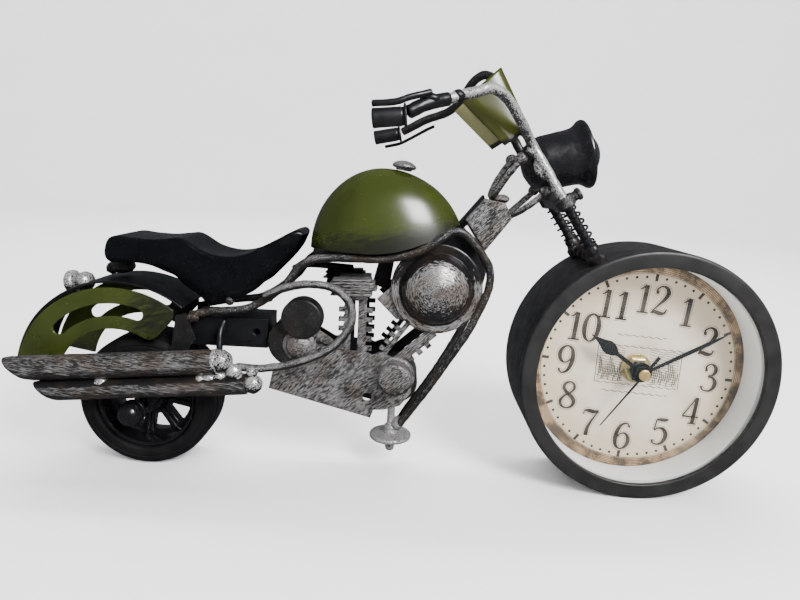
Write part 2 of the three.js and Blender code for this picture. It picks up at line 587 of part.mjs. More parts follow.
// A straight bar with comb teeth along one edge, as an outline from a start point towards an end point.
function comb(start, end, width, teeth, toothLength, side) {
  const [dx, dz] = [end[0] - start[0], end[1] - start[1]];
  const length = Math.hypot(dx, dz);
  const [ux, uz] = [dx / length, dz / length];
  const at = (along, out) => [start[0] + ux * along - uz * out * side, start[1] + uz * along + ux * out * side];
  const pitch = (length * 0.8) / teeth;
  const points = [at(0, 0), at(0, width)];
  for (let i = 0; i < teeth; i += 1) {
    const from = length * 0.1 + i * pitch;
    points.push(at(from, width), at(from, width + toothLength));
    points.push(at(from + pitch / 2, width + toothLength), at(from + pitch / 2, width));
  }
  points.push(at(length, width), at(length, 0));
  return outline(points);
}

function enginePlates() {
  const base = [
    [-42, 45.5], [-43.6, 37.9], [-0.3, 26.9], [0.9, 30.6], [5, 30.8], [12, 33], [16.4, 39], [16.4, 47], [12, 52.6],
    [2.5, 56], [-0.6, 54.6], [-3.6, 56], [-13, 56], [-18.6, 56.6], [-26, 60.8], [-30, 56],
  ];
  const head = [[0.4, 78.6], [8.7, 86.4], [24, 84], [26.5, 66], [20.8, 65.4], [14.3, 70.4], [8.6, 70.6]];
  for (const [side, name] of [[-1, 'right'], [1, 'left']]) {
    const [y0, y1] = side < 0 ? [-ENGINE.outer, -ENGINE.inner] : [ENGINE.inner, ENGINE.outer];
    const whole = join(
      plate(outline(base), y0, y1),
      plate(comb([-9.9, 54], [-9.9, 79], 2.7, 5, 2.4, 1), y0, y1),
      plate(comb([-7, 54], [-7, 79], 3.4, 5, 2.6, -1), y0, y1),
      plate(outline([[-13, 77.4], [-3.4, 77.4], [-3.4, 80], [-13, 80]]), y0, y1),
      plate(comb([4.4, 54], [14.6, 68.6], 2, 4, 2.2, 1), y0, y1),
      plate(comb([6.4, 52.4], [23, 67.6], 4.2, 4, 2, -1), y0, y1),
      plate(outline(head), y0, y1),
    );
    const bolt = disc(2, [-2, y0 - 1, 36.2], BACKWARD, 4, 10);
    add(`engine_plate_${name}`, cut(whole, bolt), side < 0 ? 'silver' : 'black');
  }
}

function engineParts() {
  const headSide = [[-18, 86], [-3, 87.2], [0.6, 84.6], [0.8, 81.4], [-2.6, 80.4], [-16, 80.4], [-19.4, 81.6]];
  const core = block([-17, -3], [-12, 12], [81.2, 85.8]);
  const nearHead = plate(outline(headSide), -17, -10);
  const farHead = plate(outline(headSide.map(([x, z]) => [x - 5.6, z])), 10, 16);
  add('cylinder_heads', join(core, nearHead, farHead), 'silver');
  add('crank_drum', disc(9.2, [9.8, -9.2, 42.5], BACKWARD, 18.4, 24), 'black');
  const cap = [[0, 0], [8.2, 0], [8.2, 1.6], [6.9, 2.2], [6.9, 6.4], [5.6, 7.8], [0, 7.8]];
  add('timing_cap', turned(cap, [9.4, -ENGINE.outer - GAP, 46.6], FORWARD_FACE, 20), 'silver');
  const cleaner = [[0, 0], [18.6, 0], [18.6, 1.5], [14.4, 1.5], [12.8, 5.6], [9.2, 8.5], [4, 10.3], [0, 10.6]];
  const airCleaner = turned(cleaner, [24.6, -ENGINE.outer - GAP, 84.2], FORWARD_FACE, 22);
  const rail = rod(FRAME_PATH, ROD + 2 * GAP, { steps: FRAME_STEPS });
  add('air_cleaner', cut(airCleaner, rail), 'silver');
  const upper = disc(8.5, [-29.5, -8, 69.6], FORWARD_FACE, 8, 20);
  const lower = disc(10.2, [-34, 4, 58.4], FORWARD_FACE, 16, 20);
  const domeProfile = [[0, -1], [7, -1], [7, 0.6], [5.6, 1], [4.6, 2.6], [2.4, 3.6], [0, 3.9]];
  const dome = turned(domeProfile, [-30.6, -11.8, 57.6], FORWARD_FACE, 14);
  const plateCut = block([-46, -17], [-ENGINE.outer - GAP, -ENGINE.inner + GAP], [40, 62]);
  add('gearbox', cut(join(upper, lower, dome, block([-36, -27], [-11, -8], [60, 68])), plateCut), 'black');
}

function exhaust() {
  const slope = new THREE.Vector3(78, 0, 6.9).normalize();
  const y = EXHAUST.y;
  const pipe = (radius, start, length) => {
    const whole = disc(radius, start, slope.toArray(), length, 14);
    const bore = disc(radius - EXHAUST.wall, start, slope.toArray(), length * 0.6, 10);
    const slash = block([-40, 0], [-20, 20], [-30, 30]);
    slash.rotateY(Math.PI / 4.2);
    slash.translate(start[0] + radius + 1.6, y, start[2]);
    return cut(whole, bore, slash);
  };
  const upperStart = [-146, y, 45.8];
  const upper = pipe(EXHAUST.upper, upperStart, 86)
    .add(solid(ball(4.8, [-58.8, y, 53.6])));
  add('exhaust_upper', upper, 'silver');
  const lower = pipe(EXHAUST.lower, [-134, y, 37.4], 86)
    .add(solid(ball(3.6, [-46.6, y, 44.8])))
    .add(solid(ball(3.3, [-54.5, y - 1, 47.4])))
    .add(solid(block([-108.4, -104], [y - 3.4, y + 3], [38, 46])))
    .add(solid(block([-66, -60.5], [y - 3.4, y + 3], [42, 50])));
  const clear = disc(EXHAUST.upper + GAP, upperStart, slope.toArray(), 90, 14);
  const clearBall = ball(4.8 + GAP, [-58.8, y, 53.6]);
  add('exhaust_lower', cut(lower, clear, clearBall), 'silver');
  const header = [
    [-52.6, -25.6, 51.6], [-44, -23, 50.6], [-28.6, -21, 53.5], [-15, -20, 61], [-8.7, -20, 71], [-9.8, -20, 78],
    [-15.7, -20, 83.6], [-25.5, -20, 85], [-35.3, -19, 82.8], [-43.6, -17, 78.8],
  ];
  add('header_pipe', rod(header, ROD, { steps: 22 }), 'silver');
}

// ---------------------------------------------------------------- assembly

clockCase();
clockFront();
movementCase();
movementCover();
gears();
hands();
movementParts();
backCover();
rearWheel();
fender();
tailLamp();
swingArm();
seat();
fuelTank();
frameRods();
neck();
footBolt();
handlebars();
forkSprings();
forkFittings();
headlight();
windscreen();
enginePlates();
engineParts();
exhaust();

root.updateMatrixWorld(true);
const extent = new THREE.Box3().setFromObject(root, true);
const middle = extent.getCenter(new THREE.Vector3());
root.position.set(-middle.x, -middle.y, -extent.min.z);

export default root;
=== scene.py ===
"""Looks for the chopper motorcycle desk clock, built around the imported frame.

Points are written in millimetres in the drawing's own axes, where the clock's centre is at (112.5, 0, 52.5)
and the table is z = 0. place() turns them into metres in the row frame.
"""
import json
import math

import bmesh
import bpy
import numpy as np
from mathutils import Matrix, Vector, noise


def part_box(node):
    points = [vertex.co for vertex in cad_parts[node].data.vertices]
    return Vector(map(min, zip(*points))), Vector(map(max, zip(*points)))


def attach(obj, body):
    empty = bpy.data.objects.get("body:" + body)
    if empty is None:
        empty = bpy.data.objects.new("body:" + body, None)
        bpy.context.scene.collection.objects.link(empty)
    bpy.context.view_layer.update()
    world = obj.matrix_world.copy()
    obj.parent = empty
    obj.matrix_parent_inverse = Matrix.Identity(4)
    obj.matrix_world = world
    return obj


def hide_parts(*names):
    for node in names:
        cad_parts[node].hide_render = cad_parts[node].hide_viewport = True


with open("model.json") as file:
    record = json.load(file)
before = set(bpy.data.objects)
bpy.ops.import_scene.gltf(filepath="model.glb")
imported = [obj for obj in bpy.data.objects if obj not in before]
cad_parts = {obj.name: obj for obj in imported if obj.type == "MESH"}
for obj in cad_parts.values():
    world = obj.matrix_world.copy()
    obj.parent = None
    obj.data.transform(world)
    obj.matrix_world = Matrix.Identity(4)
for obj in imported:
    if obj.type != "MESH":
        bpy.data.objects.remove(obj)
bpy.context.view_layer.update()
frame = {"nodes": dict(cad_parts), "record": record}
low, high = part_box("clock_case")
ORIGIN = (low + high) / 2 - Vector((0.1125, 0.0, 0.0525))


def place(point):
    """A drawing point in millimetres, as a place in the row frame in metres."""
    return Vector(point) / 1000 + ORIGIN


# ------------------------------------------------------------------ curves and outlines

def between(p, q, start, end, t):
    """The point at t on the line that passes p at start and q at end."""
    return (end - t) / (end - start) * p + (t - start) / (end - start) * q


def smooth_path(points, spacing):
    """A centripetal Catmull-Rom curve through the points, sampled evenly."""
    pts = [np.array(p, float) for p in points]
    pts = [2 * pts[0] - pts[1], *pts, 2 * pts[-1] - pts[-2]]
    out = []
    for a, b, c, d in zip(pts, pts[1:], pts[2:], pts[3:]):
        t1 = max(np.linalg.norm(b - a), 1e-6) ** 0.5
        t2 = t1 + max(np.linalg.norm(c - b), 1e-6) ** 0.5
        t3 = t2 + max(np.linalg.norm(d - c), 1e-6) ** 0.5
        for t in np.linspace(t1, t2, max(3, int(np.linalg.norm(c - b) / spacing * 2)), endpoint=False):
            a1, a2, a3 = between(a, b, 0, t1, t), between(b, c, t1, t2, t), between(c, d, t2, t3, t)
            b1, b2 = between(a1, a2, 0, t2, t), between(a2, a3, t1, t3, t)
            out.append(between(b1, b2, t1, t2, t))
    out.append(pts[-2])
    out = np.array(out)
    step = np.linalg.norm(np.diff(out, axis=0), axis=1)
    at = np.concatenate([[0], np.cumsum(step)])
    want = np.linspace(0, at[-1], max(2, round(at[-1] / spacing)) + 1)
    return np.stack([np.interp(want, at, out[:, k]) for k in range(out.shape[1])], axis=1)


def rounded(points, radius, closed=False, steps=4):
    """Rounds every corner of a polyline."""
    pts = [np.array(p, float) for p in points]
    n = len(pts)
    out = []
    for i, p in enumerate(pts):
        if not closed and i in (0, n - 1):
            out.append(tuple(p))
            continue
        before, after = pts[i - 1], pts[(i + 1) % n]
        la, lb = np.linalg.norm(before - p), np.linalg.norm(after - p)
        if la < 1e-6 or lb < 1e-6:
            continue
        reach = min(radius, la * 0.48, lb * 0.48)
        a, b = p + (before - p) / la * reach, p + (after - p) / lb * reach
        for t in np.linspace(0, 1, steps + 1):
            out.append(tuple((1 - t) ** 2 * a + 2 * t * (1 - t) * p + t * t * b))
    return out


def polar(cx, cz, radius, degrees):
    """The (x, z) point at an angle from +X on a circle."""
    angle = math.radians(degrees)
    return cx + radius * math.cos(angle), cz + radius * math.sin(angle)


def arc(cx, cz, radius, start, end, count):
    """Points along an arc, from one angle to another in degrees."""
    return [polar(cx, cz, radius, degrees) for degrees in np.linspace(start, end, count + 1)]


def symmetric(half, tip=()):
    """An outline from its left half, by mirroring x. tip is a point on the middle line."""
    return [*half, *tip, *[(-x, z) for x, z in half[::-1]]]


# ------------------------------------------------------------------ shapes, as (points in mm, faces)

def merged(*shapes):
    """Several shapes as one."""
    points, faces = [], []
    for pts, fcs in shapes:
        base = len(points)
        points.extend(pts)
        faces.extend(tuple(i + base for i in f) for f in fcs)
    return points, faces


def loft_faces(rings, around, closed=True, caps=True):
    """The faces of a skin over a stack of rings, each with the same number of points around."""
    faces = []
    for ring in range(rings - 1):
        a, b = ring * around, (ring + 1) * around
        for k in range(around if closed else around - 1):
            j = (k + 1) % around
            faces.append((a + k, a + j, b + j, b + k))
    if caps:
        faces.append(tuple(range(around))[::-1])
        faces.append(tuple(range((rings - 1) * around, rings * around)))
    return faces


def turned(profile, origin, axis, segments=64):
    """A solid of revolution from (radius, height) points along an axis."""
    turn = Vector((0, 0, 1)).rotation_difference(Vector(axis).normalized())
    points, rings = [], []
    for radius, height in profile:
        if radius < 1e-6:
            rings.append([len(points)])
            points.append((0, 0, height))
            continue
        rings.append(list(range(len(points), len(points) + segments)))
        for i in range(segments):
            angle = 2 * math.pi * i / segments
            points.append((radius * math.cos(angle), radius * math.sin(angle), height))
    faces = []
    for a, b in zip(rings, rings[1:]):
        for i in range(segments):
            j = (i + 1) % segments
            if len(a) == 1 and len(b) == 1:
                continue
            if len(a) == 1:
                faces.append((a[0], b[j], b[i]))
            elif len(b) == 1:
                faces.append((a[i], a[j], b[0]))
            else:
                faces.append((a[i], a[j], b[j], b[i]))
    if len(rings[0]) > 1 and np.allclose(profile[0], profile[-1]):
        last = rings[-1][0]
        points = points[:last]
        faces = [tuple(i - last if i >= last else i for i in f) for f in faces]
    elif len(rings[0]) > 1:
        faces.append(tuple(rings[0][::-1]))
        faces.append(tuple(rings[-1]))
    return [tuple(turn @ Vector(p) + Vector(origin)) for p in points], faces


def lathe(profile, radius, origin, axis, segments):
    """A solid of revolution from a profile whose corners are rounded first."""
    return turned(rounded(profile, radius), origin, axis, segments)


def tube(path, radius, sides=20, spacing=1.0, uneven=0.0, seed=0.0, flatten=1.0, ends=0.45):
    """A round rod along a path, with rounded ends and an optional hand-hammered surface."""
    line = smooth_path(path, spacing)
    tangents = np.gradient(line, axis=0)
    tangents /= np.linalg.norm(tangents, axis=1)[:, None]
    up = np.array([0.0, 0.0, 1.0]) if abs(tangents[0][2]) < 0.9 else np.array([0.0, 1.0, 0.0])

    def cap_ring(row, outward, share):
        """A ring of a rounded end, share of the way from the tip to the full section."""
        size = (1 - (1 - share) ** 2) ** 0.5 * 0.9 + 0.1
        return line[row] + outward * radius * ends * (1 - share), size, row

    last = len(line) - 1
    stations = [cap_ring(0, -tangents[0], share) for share in (0.0, 0.35, 0.7)]
    stations += [(p, 1.0, i) for i, p in enumerate(line)]
    stations += [cap_ring(last, tangents[last], share) for share in (0.7, 0.35, 0.0)]
    points = []
    for centre, size, i in stations:
        t = tangents[i]
        up = up - t * up.dot(t)
        up /= np.linalg.norm(up)
        side = np.cross(t, up)
        for k in range(sides):
            angle = 2 * math.pi * k / sides
            out = math.cos(angle) * side + math.sin(angle) * up * flatten
            r = radius * size
            if uneven:
                r += uneven * noise.noise(Vector(centre + out * radius) * 0.45 + Vector((seed, 0, 0)))
            points.append(tuple(centre + out * r))
    return points, loft_faces(len(stations), sides)


def plate(outline, y0, y1, holes=(), bevel=0.25, resolution=2):
    """A flat plate cut to an XZ outline, with rounded edges."""
    curve = bpy.data.curves.new("outline", "CURVE")
    curve.dimensions = "2D"
    curve.fill_mode = "BOTH"
    for ring in (outline, *holes):
        spline = curve.splines.new("POLY")
        spline.points.add(len(ring) - 1)
        for point, (x, z) in zip(spline.points, ring):
            point.co = (x, z, 0, 1)
        spline.use_cyclic_u = True
    curve.extrude = (y1 - y0) / 2 - bevel
    curve.bevel_depth = bevel
    curve.bevel_resolution = resolution
    curve.offset = -bevel
    holder = bpy.data.objects.new("outline", curve)
    bpy.context.scene.collection.objects.link(holder)
    graph = bpy.context.evaluated_depsgraph_get()
    mesh = bpy.data.meshes.new_from_object(holder.evaluated_get(graph))
    points = [(v.co.x, (y0 + y1) / 2 - v.co.z, v.co.y) for v in mesh.vertices]
    faces = [tuple(p.vertices) for p in mesh.polygons]
    bpy.data.objects.remove(holder)
    bpy.data.curves.remove(curve)
    bpy.data.meshes.remove(mesh)
    return points, faces


def blob(centre, radii, axis=(0, 0, 1), uneven=0.06, seed=0.0, detail=3):
    """A weld bead or cast ball: a sphere with a rough surface."""
    bm = bmesh.new()
    bmesh.ops.create_icosphere(bm, subdivisions=detail, radius=1.0)
    turn = Vector((0, 0, 1)).rotation_difference(Vector(axis).normalized())
    points = []
    for v in bm.verts:
        dents = noise.noise(v.co * 2.1 + Vector((seed, seed, 0)))
        dents += 0.5 * noise.noise(v.co * 5 + Vector((0, seed, 0)))
        stretched = Vector((v.co.x * radii[0], v.co.y * radii[1], v.co.z * radii[2]))
        points.append(tuple(turn @ stretched * (1 + uneven * dents) + Vector(centre)))
    faces = [tuple(v.index for v in f.verts) for f in bm.faces]
    bm.free()
    return points, faces


def screw(base, axis, radius, height):
    """A domed round screw head."""
    dome = [
        (radius * math.cos(a), height * (0.35 + 0.65 * math.sin(a)))
        for a in np.linspace(0, math.pi / 2 - 0.02, 6)
    ]
    return turned([(0, 0), (radius, 0), *dome, (0, height)], base, axis, 28)


BOX_FACES = [(0, 1, 3, 2), (4, 6, 7, 5), (0, 4, 5, 1), (2, 3, 7, 6), (0, 2, 6, 4), (1, 5, 7, 3)]


def slab(x, y, z, put=None):
    """A box between pairs of x, y and z. put, where given, says where a corner goes."""
    corners = [(a, b, c) for a in x for b in y for c in z]
    return [put(*corner) for corner in corners] if put else corners, BOX_FACES


def mirrored(path):
    """The same path on the other side of the middle plane."""
    return [(x, -y, z) for x, y, z in path]


# ------------------------------------------------------------------ materials

class Nodes:
    """A small helper to write a material's node tree."""

    def __init__(self, name, **settings):
        self.material = bpy.data.materials.new(name)
        self.material.use_nodes = True
        self.tree = self.material.node_tree
        self.shader = self.tree.nodes["Principled BSDF"]
        for socket, value in settings.items():
            self.shader.inputs[socket.replace("_", " ")].default_value = value

    def add(self, kind, inputs=None, **attributes):
        node = self.tree.nodes.new("ShaderNode" + kind)
        for key, value in attributes.items():
            setattr(node, key, value)
        for key, value in (inputs or {}).items():
            self.put(node.inputs[key], value)
        return node

    def put(self, socket, value):
        if isinstance(value, bpy.types.NodeSocket):
            self.tree.links.new(value, socket)
        elif isinstance(value, bpy.types.Node):
            self.tree.links.new(value.outputs[0], socket)
        else:
            socket.default_value = value

    def set(self, **links):
        for key, value in links.items():
            self.put(self.shader.inputs[key.replace("_", " ")], value)

    def where(self, scale=(1, 1, 1), turn=(0, 0, 0)):
        """Place on the object in millimetres, turned and then stretched by scale."""
        coords = self.add("TexCoord")
        spun = self.add("Mapping", {
            "Vector": coords.outputs["Object"], "Rotation": tuple(math.radians(a) for a in turn),
        })
        return self.add("Mapping", {
            "Vector": spun.outputs[0], "Scale": tuple(1000 * s for s in scale),
        }).outputs[0]

    def noise(self, scale, detail=4.0, rough=0.6, vector=None, distort=0.0):
        vector = vector or self.where()
        return self.add("TexNoise", {
            "Vector": vector, "Scale": scale, "Detail": detail, "Roughness": rough, "Distortion": distort,
        }).outputs["Fac"]

    def math(self, operation, a, b=0.0, c=0.0):
        return self.add("Math", {0: a, 1: b, 2: c}, operation=operation).outputs[0]

    def ramp(self, value, start, end, low=0.0, high=1.0):
        return self.add("MapRange", {
            "Value": value, "From Min": start, "From Max": end, "To Min": low, "To Max": high,
        }, interpolation_type="SMOOTHSTEP").outputs[0]

    def mix(self, share, a, b):
        node = self.add("Mix", data_type="RGBA")
        self.put(node.inputs["Factor"], share)
        for key, colour in (("A", a), ("B", b)):
            socket = [s for s in node.inputs if s.name == key and s.type == "RGBA"][0]
            self.put(socket, (*colour, 1) if isinstance(colour, tuple) else colour)
        return [s for s in node.outputs if s.type == "RGBA"][0]

    def bump(self, height, strength, distance):
        node = self.add("Bump", {"Height": height, "Strength": strength, "Distance": distance / 1000})
        self.put(self.shader.inputs["Normal"], node.outputs["Normal"])


# Where the painted shade in the crease around the air cleaner's dome starts and is full, from inside and from
# outside.
CREASE_SHADE_INSIDE = (11.6, 13.4)
CREASE_SHADE_OUTSIDE = (15.7, 14.7)


def brushed(
    name, scale=(1, 1, 1), turn=(0, 0, 0), silver=0.5, bright=0.3, brown=0.5, grain=1.0, relief=0.05,
    rough=0.3, metal=0.8, shade_masks=(), spun=None, underside_shade=0.14, soft=0.075,
):
    """Black paint with silver dry-brushed over it in fine strokes, brownish where the silver is thin.

    Undersides get painted shade: they are made blacker by underside_shade. shade_masks lists (x, y, z,
    unshaded, full_shade) for painted shade: how far along that direction, in millimetres of the row frame,
    the silver is still whole and where it is darkened to full shade. spun is the (x, z) that the strokes run
    around, with painted shade in the crease between two radii."""
    m = Nodes(name, Specular_IOR_Level=0.3)
    spot = m.where()
    streak = m.where(scale, turn)
    if spun:
        at = m.add("SeparateXYZ", {"Vector": spot})
        dx, dz = m.math("SUBTRACT", at.outputs[0], spun[0]), m.math("SUBTRACT", at.outputs[2], spun[1])
        away = m.math("SQRT", m.math("ADD", m.math("MULTIPLY", dx, dx), m.math("MULTIPLY", dz, dz)))
        around = m.math("MULTIPLY", m.math("ARCTAN2", dx, dz), 2.0)
        streak = m.add("CombineXYZ", {"X": away, "Y": around}).outputs[0]
    fine = m.noise(3.2 * grain, 4.0, 0.62, streak, 0.25)
    coarse = m.noise(0.9 * grain, 3.0, 0.6, streak, 0.5)
    patch = m.noise(0.12, 4.0, 0.6)
    total = m.math("MULTIPLY_ADD", fine, 0.85, m.math(
        "MULTIPLY_ADD", coarse, 0.12, m.math("MULTIPLY", patch, 0.25),
    ))
    if spun:
        # Painted shade in the crease between the dome and the ring around it.
        crease_shade = m.math("MULTIPLY", m.ramp(away, *CREASE_SHADE_INSIDE), m.ramp(away, *CREASE_SHADE_OUTSIDE))
        total = m.math("SUBTRACT", total, m.math("MULTIPLY", crease_shade, 0.2))
    # Painted shade: past each mask's line the silver is darkened.
    for x, y, z, unshaded, full_shade in shade_masks:
        reach = m.add("VectorMath", {0: spot, 1: (x, y, z)}, operation="DOT_PRODUCT").outputs["Value"]
        total = m.math("ADD", total, m.ramp(reach, unshaded, full_shade, 0.0, -0.2))
    # Painted shade: faces that point down lose silver and turn blacker.
    facing = m.add("SeparateXYZ", {"Vector": m.add("TexCoord").outputs["Normal"]})
    total = m.math("ADD", total, m.ramp(facing.outputs[2], 0.1, -0.8, 0.0, -underside_shade))
    edge = 0.61 - 0.14 * (silver - 0.5)
    coat = m.ramp(total, edge - soft, edge + soft)
    scratch = m.ramp(m.noise(4.4 * grain, 4.0, 0.7, streak), 0.4, 0.6, 0.2, 1.0)
    tint = m.ramp(m.noise(0.1, 4.0, 0.6), 0.42, 0.66, 0.0, brown)
    light = m.mix(tint, (bright, bright * 0.985, bright * 0.97), (bright * 0.52, bright * 0.4, bright * 0.33))
    dark = m.mix(
        tint, (bright * 0.3, bright * 0.3, bright * 0.3), (bright * 0.22, bright * 0.15, bright * 0.11),
    )
    under = m.mix(tint, (0.006, 0.006, 0.0065), (0.016, 0.011, 0.008))
    m.set(
        Base_Color=m.mix(coat, under, m.mix(scratch, dark, light)),
        Metallic=m.math("MULTIPLY", coat, metal), Roughness=m.ramp(coat, 0, 1, rough, rough + 0.06),
    )
    m.bump(m.math("ADD", coat, m.math("MULTIPLY", fine, 0.9)), 0.8, relief)
    return m.material


def painted(
    name, colour, rough, vary=0.08, relief=0.05, size=0.6, coat=0.0, metallic=0.0, dust=0.0,
    scale=(1, 1, 1), shine=0.5,
):
    """An even paint or moulding with a fine surface and slightly uneven gloss."""
    m = Nodes(name, Coat_Weight=coat, Coat_Roughness=0.22, Metallic=metallic, Specular_IOR_Level=shine)
    spot = m.noise(0.12, 4.0, 0.6)
    fine = m.noise(size, 3.0, 0.55, m.where(scale))
    light = tuple(min(1.0, c * (1 + 2.2 * vary) + dust) for c in colour)
    dark = tuple(c * (1 - vary) for c in colour)
    m.set(
        Base_Color=m.mix(m.ramp(spot, 0.35, 0.68), dark, light),
        Roughness=m.ramp(m.noise(0.2, 5.0, 0.65), 0.3, 0.7, rough - 0.06, rough + 0.09),
    )
    m.bump(fine, 0.5, relief)
    return m.material


def green(
    name, masks, streak=(0.05, 1, 1), turn=(0, 0, 0), colour=(0.022, 0.029, 0.0045), worn_at=0.34,
    lit_inside=False,
):
    """Olive paint with black dry-brushed over it.

    A mask is (x, y, z, clean, worn): how far along that direction, in millimetres of the row frame, it starts
    and where it is full. lit_inside makes the face of the left wing that is turned to the right paler:
    painted light, where the key light falls on it."""
    m = Nodes(name, Coat_Weight=0.25, Coat_Roughness=0.16, Specular_IOR_Level=0.4)
    lines = m.noise(2.3, 5.0, 0.66, m.where(streak, turn), 0.3)
    broad = m.noise(0.1, 4.0, 0.6, m.where((0.5, 1, 1.2), turn), 0.3)
    spot = m.where()
    worn = 0.0
    lit_share = 0.0
    # Painted light: the left wing's face that is turned to the right, towards the key light, is made paler.
    if lit_inside:
        depth = m.add("SeparateXYZ", {"Vector": spot}).outputs[1]
        facing = m.add("SeparateXYZ", {"Vector": m.add("TexCoord").outputs["Normal"]}).outputs[1]
        lit_share = m.math("MULTIPLY", m.ramp(depth, 8.0, 14.0), m.ramp(facing, 0.0, -0.4))
    for x, y, z, clean, dirty in masks:
        reach = m.add("VectorMath", {0: spot, 1: (x, y, z)}, operation="DOT_PRODUCT").outputs["Value"]
        share = m.ramp(reach, clean, dirty)
        worn = m.math("MAXIMUM", worn, share)
    total = m.math("MULTIPLY_ADD", worn, worn_at, m.math(
        "MULTIPLY_ADD", broad, 0.2, m.math("MULTIPLY", lines, 0.8),
    ))
    black = m.ramp(total, 0.61, 0.83, 0.0, 0.95)
    tone = m.ramp(m.noise(0.045, 3.0, 0.5), 0.35, 0.65)
    base = m.mix(tone, tuple(c * 0.84 for c in colour), tuple(c * 1.18 for c in colour))
    base = m.mix(lit_share, base, (0.16, 0.155, 0.07))
    m.set(
        Base_Color=m.mix(black, base, (0.006, 0.006, 0.004)),
        Roughness=m.ramp(m.math("ADD", black, m.noise(0.4)), 0.3, 1.4, 0.24, 0.36),
    )
    m.bump(m.math("ADD", m.math("MULTIPLY", lines, 0.4), m.math("MULTIPLY", black, 0.35)), 0.3, 0.04)
    return m.material


def clear(name, colour, alpha, rough=0.03):
    """Clear glass with a faint smear."""
    m = Nodes(name, Alpha=alpha, Specular_IOR_Level=0.6, IOR=1.5)
    smear = m.noise(0.05, 4.0, 0.6)
    m.set(
        Base_Color=m.mix(smear, colour, tuple(c * 0.96 for c in colour)),
        Roughness=m.ramp(smear, 0.4, 0.7, rough, rough + 0.04),
    )
    m.bump(m.noise(0.03, 1.0), 0.05, 0.02)
    return m.material


def dial_paper(name, centre):
    """Aged cream print with a worn brown border, stronger at the upper right and the lower left."""
    m = Nodes(name, Roughness=0.62)
    spot = m.add("SeparateXYZ", {"Vector": m.where()})
    dx = m.math("SUBTRACT", spot.outputs[0], centre[0])
    dz = m.math("SUBTRACT", spot.outputs[2], centre[1])
    radius = m.math("SQRT", m.math("ADD", m.math("MULTIPLY", dx, dx), m.math("MULTIPLY", dz, dz)))
    patchy = m.noise(0.16, 4.0, 0.65)
    grime = m.noise(0.045, 4.0, 0.6)
    rings = m.add("TexWave", {
        "Vector": m.add("CombineXYZ", {"X": radius}).outputs[0], "Scale": 0.42, "Distortion": 0.0,
    }, wave_type="BANDS").outputs["Fac"]
    lines = m.math("ADD", m.math("MULTIPLY", rings, 0.45), m.math("MULTIPLY", patchy, 0.75))
    skew = m.math("ABSOLUTE", m.math("ADD", dx, dz))
    strong = m.ramp(skew, 8.0, 46.0, 0.6, 1.4)
    border = m.math("MULTIPLY", m.ramp(radius, 40.6, 42.6), m.ramp(lines, 0.24, 0.6))
    border = m.math("MULTIPLY", border, m.math("ADD", strong, m.math("MULTIPLY", grime, 0.55)))
    cream = m.mix(m.ramp(grime, 0.38, 0.66), (0.72, 0.64, 0.53), (0.6, 0.51, 0.4))
    cream = m.mix(m.math("MULTIPLY", m.ramp(radius, 22.0, 45.0), 0.75), cream, (0.55, 0.43, 0.28))
    brown = m.mix(m.ramp(patchy, 0.4, 0.6), (0.2, 0.105, 0.035), (0.05, 0.03, 0.018))
    m.set(Base_Color=m.mix(m.math("MINIMUM", border, 0.95), cream, brown))
    m.bump(m.noise(1.2, 4.0, 0.6), 0.2, 0.03)
    return m.material


CENTRE = place((112.5, 0, 52.5)) * 1000
CLEANER = (16.0, 84.2)
# Painted shade on the air cleaner: darker towards its top right and its top left.
CLEANER_SHADE = [(0.6, 0, 0.8, 87.5, 92.5), (-0.5, 0, 0.866, 73.0, 78.5)]
PAINTED = {
    "case_black": dict(
        colour=(0.0105, 0.0102, 0.0105), rough=0.42, relief=0.03, size=1.6, dust=0.003, shine=0.35,
    ),
    "satin_black": dict(colour=(0.0045, 0.0047, 0.0055), rough=0.33, relief=0.05, size=0.25, shine=0.3),
    "seat_black": dict(colour=(0.002, 0.0022, 0.0028), rough=0.24, relief=0.008, size=0.12, shine=0.2),
    "lamp_black": dict(colour=(0.006, 0.006, 0.007), rough=0.24, relief=0.03, size=0.4, shine=0.5),
    "gloss_black": dict(colour=(0.004, 0.004, 0.0045), rough=0.2, relief=0.02, size=1.0, shine=0.5),
    "grip_black": dict(colour=(0.006, 0.006, 0.007), rough=0.36, relief=0.12, size=0.8, shine=0.4),
    "tyre_rubber": dict(
        colour=(0.004, 0.004, 0.0043), rough=0.55, vary=0.12, relief=0.06, size=1.4, dust=0.001, shine=0.14,
    ),
    "movement_plastic": dict(colour=(0.008, 0.008, 0.0085), rough=0.5, relief=0.06, size=2.6, shine=0.4),
    "nylon": dict(colour=(0.75, 0.74, 0.68), rough=0.45, relief=0.02),
    "white_card": dict(colour=(0.78, 0.8, 0.79), rough=0.5, vary=0.02, relief=0.02, shine=0.3),
    "brass": dict(colour=(0.66, 0.55, 0.28), rough=0.3, relief=0.02, metallic=0.75),
    "cap_gold": dict(colour=(0.72, 0.5, 0.2), rough=0.36, relief=0.02, metallic=0.75),
    "hand_black": dict(colour=(0.008, 0.008, 0.0085), rough=0.4, relief=0.02, shine=0.35),
    "print": dict(colour=(0.045, 0.036, 0.03), rough=0.75, vary=0.3, relief=0.0, size=1.0, shine=0.1),
    "print_thin": dict(colour=(0.11, 0.1, 0.075), rough=0.75, vary=0.2, relief=0.0, size=1.0, shine=0.1),
    "battery_sleeve": dict(colour=(0.5, 0.2, 0.05), rough=0.3, relief=0.02, metallic=0.5),
    "board_green": dict(colour=(0.02, 0.14, 0.05), rough=0.4, relief=0.04, size=1.4),
    "coil_wire": dict(
        colour=(0.5, 0.2, 0.08), rough=0.35, relief=0.2, size=2.0, metallic=0.8, scale=(0.3, 0.3, 4),
    ),
    "raw_edge": dict(colour=(0.008, 0.008, 0.0075), rough=0.5, relief=0.08, shine=0.3),
    "lamp_lens": dict(colour=(0.1, 0.1, 0.105), rough=0.22, relief=0.02, metallic=0.9),
}
